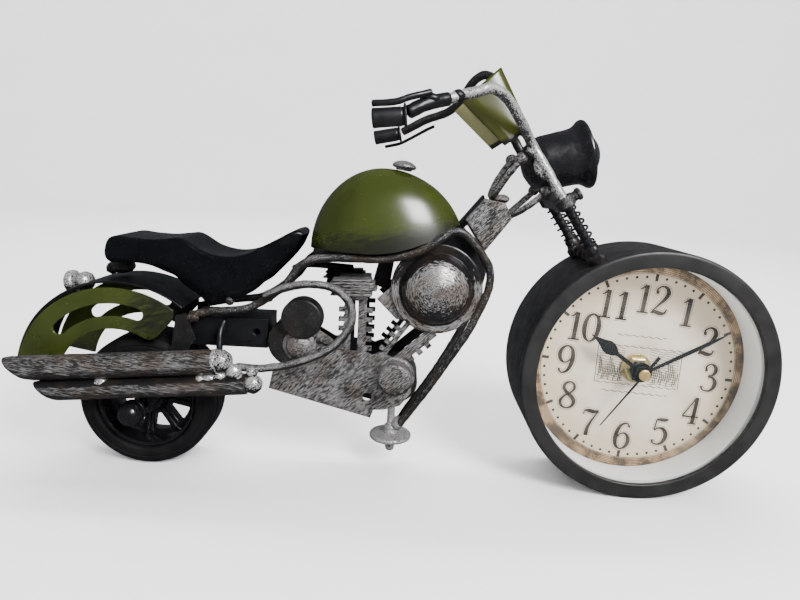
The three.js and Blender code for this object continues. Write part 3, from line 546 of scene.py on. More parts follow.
# Some of these paints carry painted shade: blacker undersides, and darker zones set by direction masks.
BRUSHED = {
    "silver": dict(scale=(0.5, 1, 1), turn=(0, 50, 0), silver=0.55, bright=0.34, metal=0.6),
    "silver_foot": dict(scale=(0.5, 0.5, 1), silver=1.0, bright=0.46, brown=0.1, relief=0.08, metal=0.6),
    "silver_light": dict(silver=0.95, bright=0.8, brown=0.03, grain=0.7, relief=0.07, soft=0.05),
    "silver_loop": dict(underside_shade=0.3, silver=0.35, bright=0.42, brown=0.1, relief=0.07),
    "silver_dome": dict(scale=(0.4, 1, 1), silver=0.6, bright=0.36, brown=0.5, metal=0.7),
    "silver_cleaner": dict(
        silver=0.65, bright=0.52, brown=0.7, grain=0.8, relief=0.035, rough=0.26, underside_shade=0.22,
        spun=CLEANER, shade_masks=CLEANER_SHADE,
    ),
    "silver_dark": dict(silver=0.0, bright=0.3, brown=0.3),
    # The lower pipe's top, under the upper pipe, is darkened as a painted shadow.
    "silver_pipe": dict(
        scale=(0.07, 0.8, 1.2), turn=(0, -5, 0), silver=0.2, bright=0.24, brown=0.8, relief=0.07, metal=0.6,
        shade_masks=[(-0.088, 0, 0.996, 51.4, 52.6)],
    ),
    "silver_pipe_upper": dict(
        scale=(0.07, 0.8, 1.2), turn=(0, -5, 0), silver=0.3, bright=0.27, brown=0.8, relief=0.07, metal=0.6,
    ),
    "silver_plate": dict(
        scale=(0.14, 1, 1.2), turn=(0, 42, 0), silver=0.42, bright=0.34, brown=0.5, relief=0.07, metal=0.55,
    ),
    "silver_neck": dict(
        scale=(0.2, 1, 1.2), turn=(0, 40, 0), silver=0.3, bright=0.4, brown=0.5, relief=0.07, metal=0.55,
    ),
    "silver_fins": dict(scale=(0.12, 0.6, 1.6), silver=0.5, bright=0.36, brown=0.25, relief=0.1, metal=0.6),
    "silver_rod": dict(scale=(0.6, 1, 0.6), silver=0.0, bright=0.26, brown=0.85, relief=0.06, metal=0.6),
    "silver_ball": dict(
        underside_shade=0.3, silver=0.75, bright=0.9, brown=0.0, grain=0.6, relief=0.06, rough=0.26, soft=0.03,
    ),
    "black_rod": dict(silver=-0.4, bright=0.2, brown=0.4),
}
GREEN = {
    "green_tank": dict(masks=[(-0.2, 0, 0.98, 113.0, 99.0)], streak=(0.07, 0.4, 1.0), turn=(0, 12, 0)),
    "green_fender": dict(
        masks=[(1, 0, 0, -124, -96), (0, 0, 1, 50, 42)], streak=(0.12, 1, 0.9), turn=(0, 28, 0),
        worn_at=0.26,
    ),
    # The screen's left wing has painted light on its face turned to the right.
    "green_screen": dict(
        masks=[(0.509, 0, -0.861, -104.7, -103.9)], streak=(0.4, 1, 0.4), colour=(0.034, 0.037, 0.006),
        worn_at=0.7, lit_inside=True,
    ),
}
PAINTS = {name: painted(name, **settings) for name, settings in PAINTED.items()}
PAINTS["clear_glass"] = clear("clear_glass", (0.05, 0.06, 0.06), 0.07)
PAINTS["dial_paper"] = dial_paper("dial_paper", (CENTRE.x + 0.8, CENTRE.z - 0.3))
PAINTS.update({name: brushed(name, **settings) for name, settings in BRUSHED.items()})
PAINTS.update({name: green(name, **settings) for name, settings in GREEN.items()})


# ------------------------------------------------------------------ making a piece

def piece(name, shape, paint, stands_for=(), body="frame", slot=None, bevel=0.0, smooth=32, uneven=None):
    """A mesh piece in the row frame. uneven is (size of the dents, how wide they are) in millimetres."""
    mesh = bpy.data.meshes.new(name)
    mesh.from_pydata([place(p) for p in shape[0]], [], shape[1])
    bm = bmesh.new()
    bm.from_mesh(mesh)
    bmesh.ops.remove_doubles(bm, verts=bm.verts, dist=2e-6)
    bmesh.ops.recalc_face_normals(bm, faces=bm.faces)
    if uneven:
        bm.normal_update()
        for v in bm.verts:
            v.co += v.normal * (noise.noise(v.co * (1000 / uneven[1])) * uneven[0] / 1000)
    bm.to_mesh(mesh)
    bm.free()
    obj = bpy.data.objects.new(name, mesh)
    bpy.context.scene.collection.objects.link(obj)
    return dress(obj, paint, stands_for, body, bevel, smooth)


def trim(name, shape, paint="satin_black", slot="satin_black", **more):
    """A piece with no CAD part of its own."""
    return piece(name, shape, paint, slot=slot, **more)


def dress(obj, paint, stands_for, body, bevel, smooth):
    """Gives a piece its shading, paint and body, and hides the CAD parts it stands for."""
    for face in obj.data.polygons:
        face.use_smooth = True
    obj.data.set_sharp_from_angle(angle=math.radians(smooth))
    if bevel:
        edge = obj.modifiers.new("edges", "BEVEL")
        edge.width = bevel / 1000
        edge.segments = 3
        edge.limit_method = "ANGLE"
        edge.angle_limit = math.radians(28)
        edge.harden_normals = False
    obj.data.materials.append(PAINTS[paint])
    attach(obj, body)
    if stands_for:
        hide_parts(*stands_for)
    return obj


def refined(node, paint, bevel):
    """A copy of a CAD node with its flat faces merged and its edges rounded."""
    source = frame["nodes"][node].data.copy()
    bm = bmesh.new()
    bm.from_mesh(source)
    bmesh.ops.remove_doubles(bm, verts=bm.verts, dist=2e-6)
    bmesh.ops.dissolve_limit(bm, angle_limit=math.radians(1.0), verts=bm.verts, edges=bm.edges)
    bmesh.ops.recalc_face_normals(bm, faces=bm.faces)
    bm.to_mesh(source)
    bm.free()
    source.materials.clear()
    obj = bpy.data.objects.new(node + "_fine", source)
    bpy.context.scene.collection.objects.link(obj)
    return dress(obj, paint, (node,), "frame", bevel, 32)


SLOTS = {s["node"]: s["material_slot"] for s in frame["record"]["subparts"]}
CAD_PAINT = {
    "clock_glass": "clear_glass", "satin_black": "satin_black", "antique_silver": "silver",
    "green_paint": "green_fender",
}
for cad_name, cad_object in frame["nodes"].items():
    cad_slot = SLOTS[cad_name]
    cad_object.data.materials.clear()
    cad_object.data.materials.append(PAINTS[CAD_PAINT.get(cad_slot, cad_slot)])


# ------------------------------------------------------------------ clock

# The middle of the clock, and the two directions along its axis.
HUB = (112.5, 0, 52.5)
BACK, FRONT = (0, 1, 0), (0, -1, 0)

case = rounded([
    (45.8, -17.2), (45.8, -18.8), (52.45, -18.8), (52.45, -14.6), (52.15, -14.2), (52.45, -13.8),
    (52.45, 18.6), (50.3, 18.6), (50.3, -17.2), (45.8, -17.2),
], 1.5, steps=5)
piece("drum", turned(case + [case[0]], HUB, BACK, 144), "case_black", ("clock_case",), smooth=40)
wall = rounded([(45.75, -15.0), (49.9, -15.0), (49.9, -2.3), (45.75, -2.3), (45.75, -15.0)], 0.2)
piece("inner_wall", turned(wall + [wall[0]], HUB, BACK, 144), "white_card", ("spacer_ring",))
pane = rounded([(0, -17.05), (49.9, -17.05), (49.9, -15.5), (0, -15.5)], 0.3)
piece("front_pane", turned(pane, HUB, BACK, 128), "clear_glass", ("clock_glass",), smooth=50)
card = rounded([(3.9, -1.9), (49.9, -1.9), (49.9, -0.45), (3.9, -0.45), (3.9, -1.9)], 0.1)
piece("dial_card", turned(card + [card[0]], HUB, BACK, 128), "dial_paper", ("dial",), smooth=50)

# Each stroke of a numeral lists x, height and width in units of the numeral's height.
BALL_HIGH = [(0.1, 0.79, 0.07), (0.14, 0.77, 0.12), (0.19, 0.78, 0.05)]
SIX = [[
    (0.45, 0.84, 0.1), (0.46, 0.9, 0.05), (0.36, 0.985, 0.045), (0.18, 0.9, 0.09), (0.07, 0.62, 0.135),
    (0.06, 0.34, 0.135), (0.14, 0.09, 0.09), (0.29, 0.01, 0.045), (0.44, 0.09, 0.09), (0.52, 0.29, 0.13),
    (0.46, 0.52, 0.1), (0.32, 0.61, 0.05), (0.19, 0.55, 0.035), (0.1, 0.42, 0.03),
]]
NUMERALS = {
    "0": [[
        (0.3, 0.99, 0.045), (0.14, 0.87, 0.1), (0.06, 0.5, 0.15), (0.14, 0.13, 0.1), (0.3, 0.01, 0.045),
        (0.46, 0.13, 0.1), (0.54, 0.5, 0.15), (0.46, 0.87, 0.1), (0.3, 0.99, 0.045),
    ]],
    "1": [
        [(0.32, 0.0, 0.14), (0.32, 0.97, 0.14)], [(0.12, 0.02, 0.04), (0.52, 0.02, 0.04)],
        [(0.1, 0.8, 0.02), (0.2, 0.86, 0.05), (0.3, 0.97, 0.06)],
    ],
    "2": [
        BALL_HIGH,
        [
            (0.1, 0.78, 0.05), (0.14, 0.9, 0.045), (0.28, 0.985, 0.05), (0.44, 0.93, 0.1),
            (0.51, 0.76, 0.14), (0.43, 0.56, 0.11), (0.26, 0.34, 0.06), (0.1, 0.13, 0.035),
            (0.04, 0.02, 0.03),
        ],
        [(0.05, 0.07, 0.05), (0.18, 0.09, 0.12), (0.36, 0.05, 0.13), (0.5, 0.08, 0.07), (0.56, 0.22, 0.03)],
    ],
    "3": [
        BALL_HIGH,
        [
            (0.1, 0.8, 0.05), (0.15, 0.92, 0.045), (0.28, 0.985, 0.05), (0.43, 0.9, 0.11),
            (0.47, 0.76, 0.13), (0.4, 0.61, 0.08), (0.24, 0.54, 0.035),
        ],
        [
            (0.24, 0.54, 0.035), (0.42, 0.5, 0.08), (0.53, 0.34, 0.135), (0.52, 0.18, 0.13),
            (0.42, 0.04, 0.08), (0.27, 0.01, 0.045), (0.12, 0.07, 0.05), (0.1, 0.18, 0.1),
        ],
    ],
    "4": [
        [(0.4, 0.99, 0.035), (0.22, 0.64, 0.035), (0.03, 0.28, 0.035)],
        [(0.02, 0.265, 0.045), (0.6, 0.265, 0.045)], [(0.42, 0.99, 0.12), (0.42, 0.0, 0.13)],
        [(0.26, 0.015, 0.035), (0.57, 0.015, 0.035)],
    ],
    "5": [
        [(0.12, 0.94, 0.06), (0.3, 0.94, 0.12), (0.44, 0.95, 0.1), (0.52, 0.99, 0.03)],
        [(0.12, 0.95, 0.035), (0.09, 0.53, 0.035)],
        [
            (0.09, 0.53, 0.035), (0.2, 0.61, 0.05), (0.38, 0.61, 0.1), (0.52, 0.44, 0.14),
            (0.52, 0.24, 0.135), (0.42, 0.06, 0.09), (0.27, 0.01, 0.045), (0.12, 0.06, 0.05),
            (0.1, 0.17, 0.1),
        ],
    ],
    "6": SIX,
    "7": [
        [
            (0.04, 0.78, 0.025), (0.06, 0.92, 0.04), (0.2, 0.945, 0.12), (0.4, 0.92, 0.12),
            (0.55, 0.98, 0.03),
        ],
        [(0.55, 0.97, 0.03), (0.38, 0.62, 0.06), (0.27, 0.32, 0.11), (0.25, 0.01, 0.14)],
    ],
    "8": [[
        (0.3, 0.99, 0.045), (0.15, 0.91, 0.085), (0.1, 0.77, 0.1), (0.2, 0.61, 0.11), (0.4, 0.46, 0.13),
        (0.53, 0.28, 0.13), (0.48, 0.09, 0.09), (0.3, 0.01, 0.045), (0.12, 0.08, 0.08), (0.06, 0.25, 0.1),
        (0.15, 0.43, 0.06), (0.36, 0.59, 0.05), (0.47, 0.75, 0.09), (0.43, 0.91, 0.07), (0.3, 0.99, 0.045),
    ]],
    "9": [[(0.6 - x, 1 - z, w) for x, z, w in stroke] for stroke in SIX],
}
NUMERAL_HEIGHT = 12.4


def ribbon(stroke, layer, grow=0.0, weight=0.0):
    """One brush stroke as a thin raised strip. grow draws a fine line beside the stroke instead."""
    line = smooth_path([tuple(v * NUMERAL_HEIGHT for v in point) for point in stroke], 0.35)
    tangent = np.gradient(line[:, :2], axis=0)
    tangent /= np.linalg.norm(tangent, axis=1)[:, None]
    normal = np.stack([-tangent[:, 1], tangent[:, 0]], axis=1)
    sides = [(1, -1)] if not grow else [(1, 1), (-1, -1)]
    shapes = []
    for a, b in sides:
        if grow:
            offset = line[:, 2:3] / 2 + grow
            edge_a, edge_b = line[:, :2] + normal * a * offset, line[:, :2] + normal * a * (offset + 0.2)
        else:
            half = line[:, 2:3] / 2 + weight
            edge_a, edge_b = line[:, :2] + normal * a * half, line[:, :2] + normal * b * half
        points = []
        for (ax, az), (bx, bz) in zip(edge_a, edge_b):
            points += [(ax, -layer, az), (bx, -layer, bz), (bx, 0, bz), (ax, 0, az)]
        shapes.append((points, loft_faces(len(line), 4)))
    return merged(*shapes)


def moved(shape, x, y, z, lean=0.0):
    """A shape turned clockwise by lean degrees, as seen from the front, and then shifted."""
    c, s = math.cos(math.radians(lean)), math.sin(math.radians(lean))
    return [(px * c + pz * s + x, py + y, -px * s + pz * c + z) for px, py, pz in shape[0]], shape[1]


# The print is turned by PRINT_LEAN degrees and its middle is a little off the hands' axis.
PRINT_LEAN = 4.5
FACE = -1.9
CX, CZ = 113.3, 52.2
NUMERAL_REACH, WIDE_REACH = 31.4, 30.6
DIGIT_STEP = 7.0
TRACK_REACH = 39.9
solid_print, fine_print = [], []
for hour in range(1, 13):
    angle = math.radians(hour * 30 + PRINT_LEAN)
    text = str(hour)
    reach = NUMERAL_REACH if len(text) == 1 else WIDE_REACH
    middle = (CX + reach * math.sin(angle), FACE, CZ + reach * math.cos(angle))
    for k, digit in enumerate(text):
        shift = (k - (len(text) - 1) / 2) * DIGIT_STEP - 3.6
        for layer, grow, store in ((0.05, 0.0, solid_print), (0.03, 0.5, fine_print)):
            for stroke in NUMERALS[digit]:
                glyph = moved(ribbon(stroke, layer, grow, weight=0.1), shift, 0, -NUMERAL_HEIGHT / 2)
                store.append(moved(glyph, *middle, PRINT_LEAN))
for minute in range(60):
    angle = math.radians(minute * 6 + PRINT_LEAN)
    at = (CX + TRACK_REACH * math.sin(angle), FACE, CZ + TRACK_REACH * math.cos(angle))
    if minute % 5:
        solid_print.append(turned([(0, 0), (0.6, 0), (0.58, 0.05), (0, 0.06)], at, FRONT, 14))
        continue
    bar = ribbon([(0, z / NUMERAL_HEIGHT, 1.3 / NUMERAL_HEIGHT) for z in (-1.5, 1.5)], 0.05)
    solid_print.append(moved(bar, *at, minute * 6 + PRINT_LEAN))
piece("dial_numerals", merged(*solid_print), "print", slot="hand_black", smooth=20)


def pen(points, widths):
    """A pen line on the dial through (x, z) points in millimetres."""
    line = [tuple(v / NUMERAL_HEIGHT for v in (x, z, w)) for (x, z), w in zip(points, widths)]
    return moved(ribbon(line, 0.03), 0, FACE, 0)


LABEL_MIDDLE = 113
LABEL_SLOPE = 0.055


def tilt(x, z):
    """A place in the label, which slopes down a little to the right."""
    return x, z - LABEL_SLOPE * (x - LABEL_MIDDLE)


# A plain hatched landscape and two flourishes stand in for the printed label.
hatch = []
for x0, x1 in ((96.2, 107.6), (118.2, 131.4)):
    for row in range(17):
        z = 60.6 - row * 0.92
        xs = np.linspace(x0 + 0.3 * math.sin(row * 2.1), x1 - 0.5 * abs(math.cos(row * 1.7)), 12)
        hatch.append(pen([tilt(x, z + 0.3 * math.sin(x * 0.8 + row)) for x in xs], [0.26] * len(xs)))
    for k, x in enumerate(np.linspace(x0 + 0.6, x1 - 0.6, 15)):
        low_z = 47 + 1.4 * math.sin(k * 1.9)
        high_z = 53.5 + 2.6 * math.sin(k * 0.9 + x0) + 0.8 * math.sin(k * 2.3)
        trunk = [tilt(x, low_z), tilt(x + 0.3, (low_z + high_z) / 2), tilt(x + 0.1, high_z)]
        hatch.append(pen(trunk, [0.44] * 3))
for x, z0, z1 in ((95.6, 44.6, 61.6), (131.8, 44.6, 61.6)):
    hatch.append(pen([tilt(x, z0), tilt(x, (z0 + z1) / 2), tilt(x, z1)], [0.35] * 3))
for x0, x1, z in ((96.0, 131.6, 61.6), (95.6, 131.2, 44.6), (103.0, 124.0, 66.4), (98.6, 127.6, 41.0)):
    xs = np.linspace(x0, x1, 40)
    line = [tilt(x, z + 0.28 * math.sin(x * 1.9)) for x in xs]
    hatch.append(pen(line, [0.16 + 0.24 * abs(math.sin(x * 0.95)) for x in xs]))
piece("dial_ornament", merged(*fine_print, *hatch), "print_thin", slot="hand_black", smooth=20)

nut = merged(
    lathe([(3.95, 2.2), (6.4, 2.2), (6.5, 2.6), (6.3, 3.2), (3.95, 3.2), (3.95, 2.2)], 0.1, HUB, FRONT, 48),
    lathe([
        (3.95, 3.15), (5.6, 3.15), (5.6, 4.5), (4.9, 4.9), (3.95, 4.9), (3.95, 3.15),
    ], 0.15, HUB, FRONT, 6),
)
piece("hand_nut", nut, "brass", ("dial_nut",), smooth=30)


def hand_piece(name, outline, hub, y0, y1, degrees, stands_for, body, bore):
    """A clock hand: a flat blade, a boss around its shaft and a small collar in front of the boss."""
    blade = plate(outline, y0, y1, bevel=0.12)
    boss = [(bore, y0), (hub, y0), (hub, y1 + 0.1), (bore, y1 + 0.1), (bore, y0)]
    collar = [(bore, y0 - 0.35), (hub * 0.62, y0 - 0.35), (hub * 0.66, y0), (bore, y0), (bore, y0 - 0.35)]
    rings = [lathe(profile, 0.1, (0, 0, 0), BACK, 48) for profile in (boss, collar)]
    shape = moved(merged(blade, *rings), HUB[0], 0, HUB[2], degrees)
    return piece(name, shape, "hand_black", (stands_for,), body)


spade = symmetric(
    [(-0.9, 0), (-0.85, 13.4), (-1.9, 14.8), (-2.9, 17), (-2.7, 19.2), (-1.5, 21.8), (-0.6, 25)], [(0, 28)],
)
sword = symmetric([(-0.8, -5), (-0.55, 0), (-0.7, 8), (-0.9, 20), (-0.78, 30), (-0.45, 34)], [(0, 37.4)])
needle = symmetric([(-0.75, -9.5), (-0.55, 0), (-0.22, 28)])
# Where the hands point at rest, in degrees clockwise from 12.
HOUR_AT, MINUTE_AT, SECOND_AT = 304.6, 60.3, 214
spade, sword = rounded(spade, 0.6, True), rounded(sword, 0.6, True)
hand_piece("hour_pointer", spade, 4.3, -8.8, -8.25, HOUR_AT, "hour_hand", "hour_pipe", 1.7)
hand_piece("minute_pointer", sword, 3.1, -10.6, -10.05, MINUTE_AT, "minute_hand", "minute_arbor", 0.9)
hand_piece("second_pointer", needle, 1.9, -11.9, -11.5, SECOND_AT, "second_hand", "seconds_arbor", 0.3)
piece(
    "second_cap",
    lathe([(0, 11.9), (2.35, 11.9), (2.35, 12.4), (1.9, 12.75), (0, 12.8)], 0.3, HUB, FRONT, 40),
    "cap_gold", body="seconds_arbor", slot="brass",
)

refined("movement_case", "movement_plastic", 0.5)
refined("movement_cover", "movement_plastic", 0.5)
window = [(84.2, 24.2), (140.8, 24.2), (140.8, 80.8), (84.2, 80.8)]
piece("rear_cover", plate(
    arc(112.5, 52.5, 49.95, 0, 357, 119), 15.7, 17.6, [rounded(window, 1.5, True)], 0.3,
), "movement_plastic", ("back_cover",))
knob = [(0, 0), (4.6, 0), (4.95, 0.3), (4.95, 0.95), (4.5, 1.2), (2.2, 1.2), (1.8, 0.9), (0, 0.9)]
KNOB_AT = (112.5, 17.8, 62.9)
ridge = [(0, 0.1), (0.34, 0.1), (0.3, 1.0), (0, 1.05)]
ridges = []
for degrees in np.arange(28) * 360 / 28:
    x, z = polar(KNOB_AT[0], KNOB_AT[2], 4.72, degrees)
    ridges.append(turned(ridge, (x, KNOB_AT[1], z), BACK, 8))
piece(
    "setting_dial", merged(turned(knob, KNOB_AT, BACK, 56), *ridges), "movement_plastic", ("setting_knob",),
    "setting_arbor",
)
cell = [
    (0, -24.6), (5.4, -24.6), (7.0, -24.2), (7.05, -23.6), (7.05, 22.2), (6.6, 23.1), (2.7, 23.1),
    (2.6, 24.5), (0, 24.6),
]
piece(
    "cell", lathe(cell, 0.25, (112.5, 8.6, 33), (1, 0, 0), 56), "battery_sleeve", ("battery",),
    "battery_cell",
)
piece("hanger_hook", plate(arc(112.5, 76.5, 5.2, 200, -20, 16) + arc(
    112.5, 76.5, 3.0, -20, 200, 16,
), 17.0, 18.4, bevel=0.3), "movement_plastic", slot="movement_plastic")

# ------------------------------------------------------------------ rear wheel

AXLE = (-96.3, 0, 28.9)
tread = [
    (21, -10.4), (21.4, -11.2), (22.4, -11.7), (24.2, -11.8), (24.5, -11.55), (24.9, -11.55),
    (25.2, -11.75), (26.4, -11.4), (28.0, -10.0), (28.75, -8.0), (28.85, -5.2), (28.4, -4.4), (28.4, -3.9),
    (28.88, -3.7), (28.9, -0.35), (28.4, -0.2), (28.4, 0.2), (28.9, 0.35),
]
side = rounded(tread, 0.35)
other = [(r, -h) for r, h in side[::-1] if h < -0.5]
inner = rounded([(21.0, 10.4), (20.95, 0), (21, -10.4)], 0.1)
piece(
    "tyre_tread", turned(side + other + inner + [side[0]], AXLE, BACK, 128), "tyre_rubber", ("tyre",),
    "rear_wheel", smooth=40,
)
windows = []
for k in range(8):
    mid = k * 45 + 12
    outer_edge = arc(AXLE[0], AXLE[2], 16.8, mid - 14.5, mid + 14.5, 5)
    inner_edge = arc(AXLE[0], AXLE[2], 9, mid + 9, mid - 9, 2)
    windows.append(rounded(outer_edge + inner_edge, 0.7, True, 3))
barrel = [
    (17.2, -2.6), (18.4, -3.4), (19.3, -9.4), (20.4, -10.1), (20.65, -10.0), (20.65, 10.0), (20.4, 10.1),
    (19.3, 9.4), (18.4, 3.4), (17.2, 2.6), (17.2, -2.6),
]
boss = [(3, -7), (5.6, -7), (6.4, -6.2), (7.6, -2.6), (7.6, 2.6), (6.4, 6.2), (5.6, 7), (3, 7), (3, -7)]
windows.append(arc(AXLE[0], AXLE[2], 3.05, 0, 345, 23))
spokes = plate(arc(AXLE[0], AXLE[2], 18.2, 0, 356, 89), -2.5, 2.5, windows, 0.6, 3)


def at_wheel(radius, degrees, y):
    """A place in the wheel, at a radius and an angle around its axle."""
    x, z = polar(AXLE[0], AXLE[2], radius, degrees)
    return x, y, z


ribs = [tube([at_wheel(6.5, a, -2.6), at_wheel(18, a, -2.6)], 1.0, 12) for a in np.arange(8) * 45 + 34.5]
hub_bolts = [screw(at_wheel(5.4, a, -6.7), FRONT, 0.6, 0.5) for a in range(0, 360, 72)]
ribs += [([(x, -y, z) for x, y, z in p], f) for p, f in ribs]
wheel = merged(
    spokes, lathe(barrel, 0.4, AXLE, BACK, 96), lathe(boss, 0.5, AXLE, BACK, 64), *ribs, *hub_bolts,
)
piece("wheel_disc", wheel, "gloss_black", ("wheel_rim",), "rear_wheel")
acorn = rounded([
    (2.4, 0), (4.4, 0), (5.1, 1.2), (5.15, 2.2), (4.7, 2.6), (4.9, 3.2), (4.8, 5.2), (4.0, 7.0), (2.4, 8.2),
    (0, 8.7),
], 0.7)
pin = rounded([(0, -21.5), (2.35, -21.5), (2.35, 21.5), (0, 21.5)], 0.2)
piece("axle_pin", merged(
    turned(pin, AXLE, BACK, 40),
    turned([(0, 0)] + acorn, (AXLE[0], -20, AXLE[2]), FRONT, 56),
    turned([(0, 0)] + acorn, (AXLE[0], 20, AXLE[2]), BACK, 56),
), "gloss_black", ("rear_axle",))

# ------------------------------------------------------------------ rear fender

FX, FZ = -106, 37
slot = arc(FX, FZ, 34.9, 72.6, 133.5, 26)
end = polar(FX, FZ, 32.35, 133.5)
slot += arc(*end, 2.55, 133.5, 313.5, 10)[1:-1] + arc(FX, FZ, 29.8, 133.5, 72.6, 26)
end = polar(FX, FZ, 32.35, 72.6)
slot += arc(*end, 2.55, 252.6, 432.6, 10)[1:-1]
front_corners = [polar(FX, FZ, 26.4, 51.2), polar(FX, FZ, 38.6, 50.4)]
blank = arc(FX, FZ, 41.5, 53.5, 170, 60) + arc(FX, FZ, 24.4, 170, 57.5, 44) + front_corners
blank = rounded(blank, 1.6, True, 4)
for side_name, near in (("right", -15.5), ("left", 14.3)):
    skin = plate(blank, near, near + 1.2, [slot], 0.35, 3)
    piece("fender_" + side_name, skin, "green_fender", ("fender_plate_" + side_name,))


def strip(outer, inner, half, cx, cz, start, end, count, across=9):
    """A curved sheet that follows an arc, with its two long edges turned over slightly."""
    points = []
    angles = np.radians(np.linspace(start, end, count + 1))
    ys = np.linspace(-half, half, across)
    ring = [(outer - 0.35 * (abs(y) > half - 0.1), y) for y in ys] + [(inner, y) for y in ys[::-1]]
    for a in angles:
        points += [(cx + r * math.cos(a), y, cz + r * math.sin(a)) for r, y in ring]
    return points, loft_faces(count + 1, len(ring))


band = strip(43.5, 42.35, 13.9, -105.2, 37.8, 51.2, 171.8, 72)
piece("fender_top", band, "satin_black", ("fender_band",), bevel=0.25, uneven=(0.08, 9))

lens = rounded([
    (0, 0), (4.2, 0), (5.0, 0.7), (5.2, 1.8), (4.9, 2.8), (4.9, 3.1), (4.0, 3.9), (2.2, 4.4), (0, 4.5),
], 0.6)
lamp = merged(
    turned(lens, (-128, 0, 77.2), (-0.95, 0, -0.1), 48), blob((-124.4, 0, 77.5), (3.7, 4.2, 4.2), seed=3.1),
)
piece("tail_light", lamp, "silver_ball", ("tail_lamp",), uneven=(0.09, 1.6))

refined("swing_arm_box", "satin_black", 0.9)
refined("axle_strut_right", "black_rod", 0.35)
refined("axle_strut_left", "black_rod", 0.35)

# ------------------------------------------------------------------ seat

top_line = smooth_path([
    (-108.7, 93.2), (-108.4, 95.6), (-107.2, 98.2), (-104.6, 99.2), (-98, 98.7), (-90, 98.5), (-83, 99.3),
    (-79.1, 99.7), (-75.6, 98.2), (-71, 95.4), (-65, 93.5), (-58.5, 93.2), (-52, 94.8), (-46.6, 97.6),
    (-40, 101.2), (-34.5, 104.2), (-31.6, 104.6), (-30.6, 103.4),
], 0.8)
low_line = smooth_path([
    (-108.7, 92.2), (-108.2, 90.2), (-106.4, 88.8), (-102, 88.8), (-97.6, 89), (-90.6, 88.2), (-84.6, 86),
    (-80.6, 84.4), (-77.2, 81.2), (-74.4, 79), (-71.2, 77.2), (-69, 74.8), (-67, 73.5), (-63.6, 73.8),
    (-60.7, 74.4), (-54.6, 77), (-48.6, 80.2), (-42.6, 86), (-36.8, 92.2), (-33, 97.4), (-30.6, 102.6),
], 0.8)
stations = np.concatenate([
    -108.66 + 3.2 * np.linspace(0, 1, 10) ** 2, np.linspace(-105, -36, 70),
    -36 + 5.35 * (1 - (1 - np.linspace(0.1, 1, 12)) ** 2),
])


def seat_shape():
    """The saddle: at each station along x a flat-sided section with a rounded, slightly crowned top."""
    points = []
    top_sorted, low_sorted = (line[np.argsort(line[:, 0], kind="stable")] for line in (top_line, low_line))
    for x in stations:
        top = np.interp(x, top_sorted[:, 0], top_sorted[:, 1])
        low_z = np.interp(x, low_sorted[:, 0], low_sorted[:, 1])
        narrow = max(0.0, (x + 52) / 22) ** 1.6
        half = 13.95 - 4.6 * narrow
        tall = max(top - low_z, 0.3)
        edge = min(1.5, tall * 0.4)
        pillion = max(0.0, 1 - abs(x + 94) / 14)
        crown = 0.5 * pillion - 0.9 * max(0.0, 1 - abs(x + 60) / 20)
        section = [(-half, low_z), (-half, low_z + (tall - edge) * 0.5)]
        section += [
            (-half + edge * (1 - math.cos(a)), top - edge * (1 - math.sin(a)))
            for a in np.linspace(0, math.pi / 2, 6)
        ]
        section += [
            (y, top + crown * (1 - (y / (half - edge)) ** 2))
            for y in np.linspace(-(half - edge), half - edge, 13)[1:-1]
        ]
        section += [(-y, z) for y, z in section[7::-1]]
        points += [(x, y, z) for y, z in section]
    around = len(section)
    faces = loft_faces(len(stations), around, closed=False, caps=False)
    faces += [tuple(range(around)), tuple(range(len(points) - around, len(points)))[::-1]]
    return points, faces


saddle = piece("saddle", seat_shape(), "seat_black", ("seat",), smooth=50)
skin = saddle.modifiers.new("sheet", "SOLIDIFY")
skin.thickness = 0.0012
skin.offset = -1
skin.use_even_offset = False
piece("saddle_post", merged(
    blob((-108.2, 0, 85.1), (5.0, 6.0, 3.2), uneven=0.09, seed=1.0),
    blob((-111.4, -2.4, 84.4), (2.2, 3.2, 2.6), uneven=0.12, seed=2.0),
    blob((-104.6, -1.4, 85.4), (1.9, 3.6, 2.6), uneven=0.12, seed=4.0),
), "black_rod", ("seat_post",))

# ------------------------------------------------------------------ tank

# The tank is half an egg: longer in front of its widest place than behind it.
TANK_X, TANK_Z = 1, 96
TANK_FRONT, TANK_BACK = 35, 29.6
TANK_HALF_WIDTH, TANK_HEIGHT = 17.5, 34.8


def tank_base(x):
    """The height of the tank's lower edge, which is level behind and curves up in front."""
    return 97.5 + (0.00906 * (x + 5) ** 2 if x > -5 else 0.0)


def tank_shape():
    """The closed tank: a grid over the shell and a flat underside four faces wide."""
    rows, columns = [], 33
    for theta in np.radians(np.linspace(3, 177, 75)):
        along, size = -math.cos(theta), math.sin(theta)
        x = TANK_X + along * (TANK_FRONT if along > 0 else TANK_BACK)
        share = (tank_base(x) - TANK_Z) / (TANK_HEIGHT * size) if size > 1e-4 else 2
        if share >= 0.995:
            continue
        limit = math.acos(max(share, -1))
        around = np.linspace(-limit, limit, columns)
        rows.append([
            (x, TANK_HALF_WIDTH * size * math.sin(p), TANK_Z + TANK_HEIGHT * size * math.cos(p))
            for p in around
        ])
    points = [p for row in rows for p in row]
    faces = loft_faces(len(rows), columns, closed=False, caps=False)
    base = len(points)
    for row in rows:
        points += [(row[0][0], row[0][1] * (1 - 2 * t), row[0][2]) for t in (0.05, 0.5, 0.95)]
    for i in range(len(rows) - 1):
        a, b = base + i * 3, base + (i + 1) * 3
        left, right = i * columns, i * columns + columns - 1
        faces += [
            (left, a, b, left + columns), (a, a + 1, b + 1, b), (a + 1, a + 2, b + 2, b + 1),
            (a + 2, right, right + columns, b + 2),
        ]
    for i in (0, len(rows) - 1):
        edge = tuple(range(i * columns, (i + 1) * columns))
        faces.append(edge + (base + i * 3 + 2, base + i * 3 + 1, base + i * 3))
    return points, faces


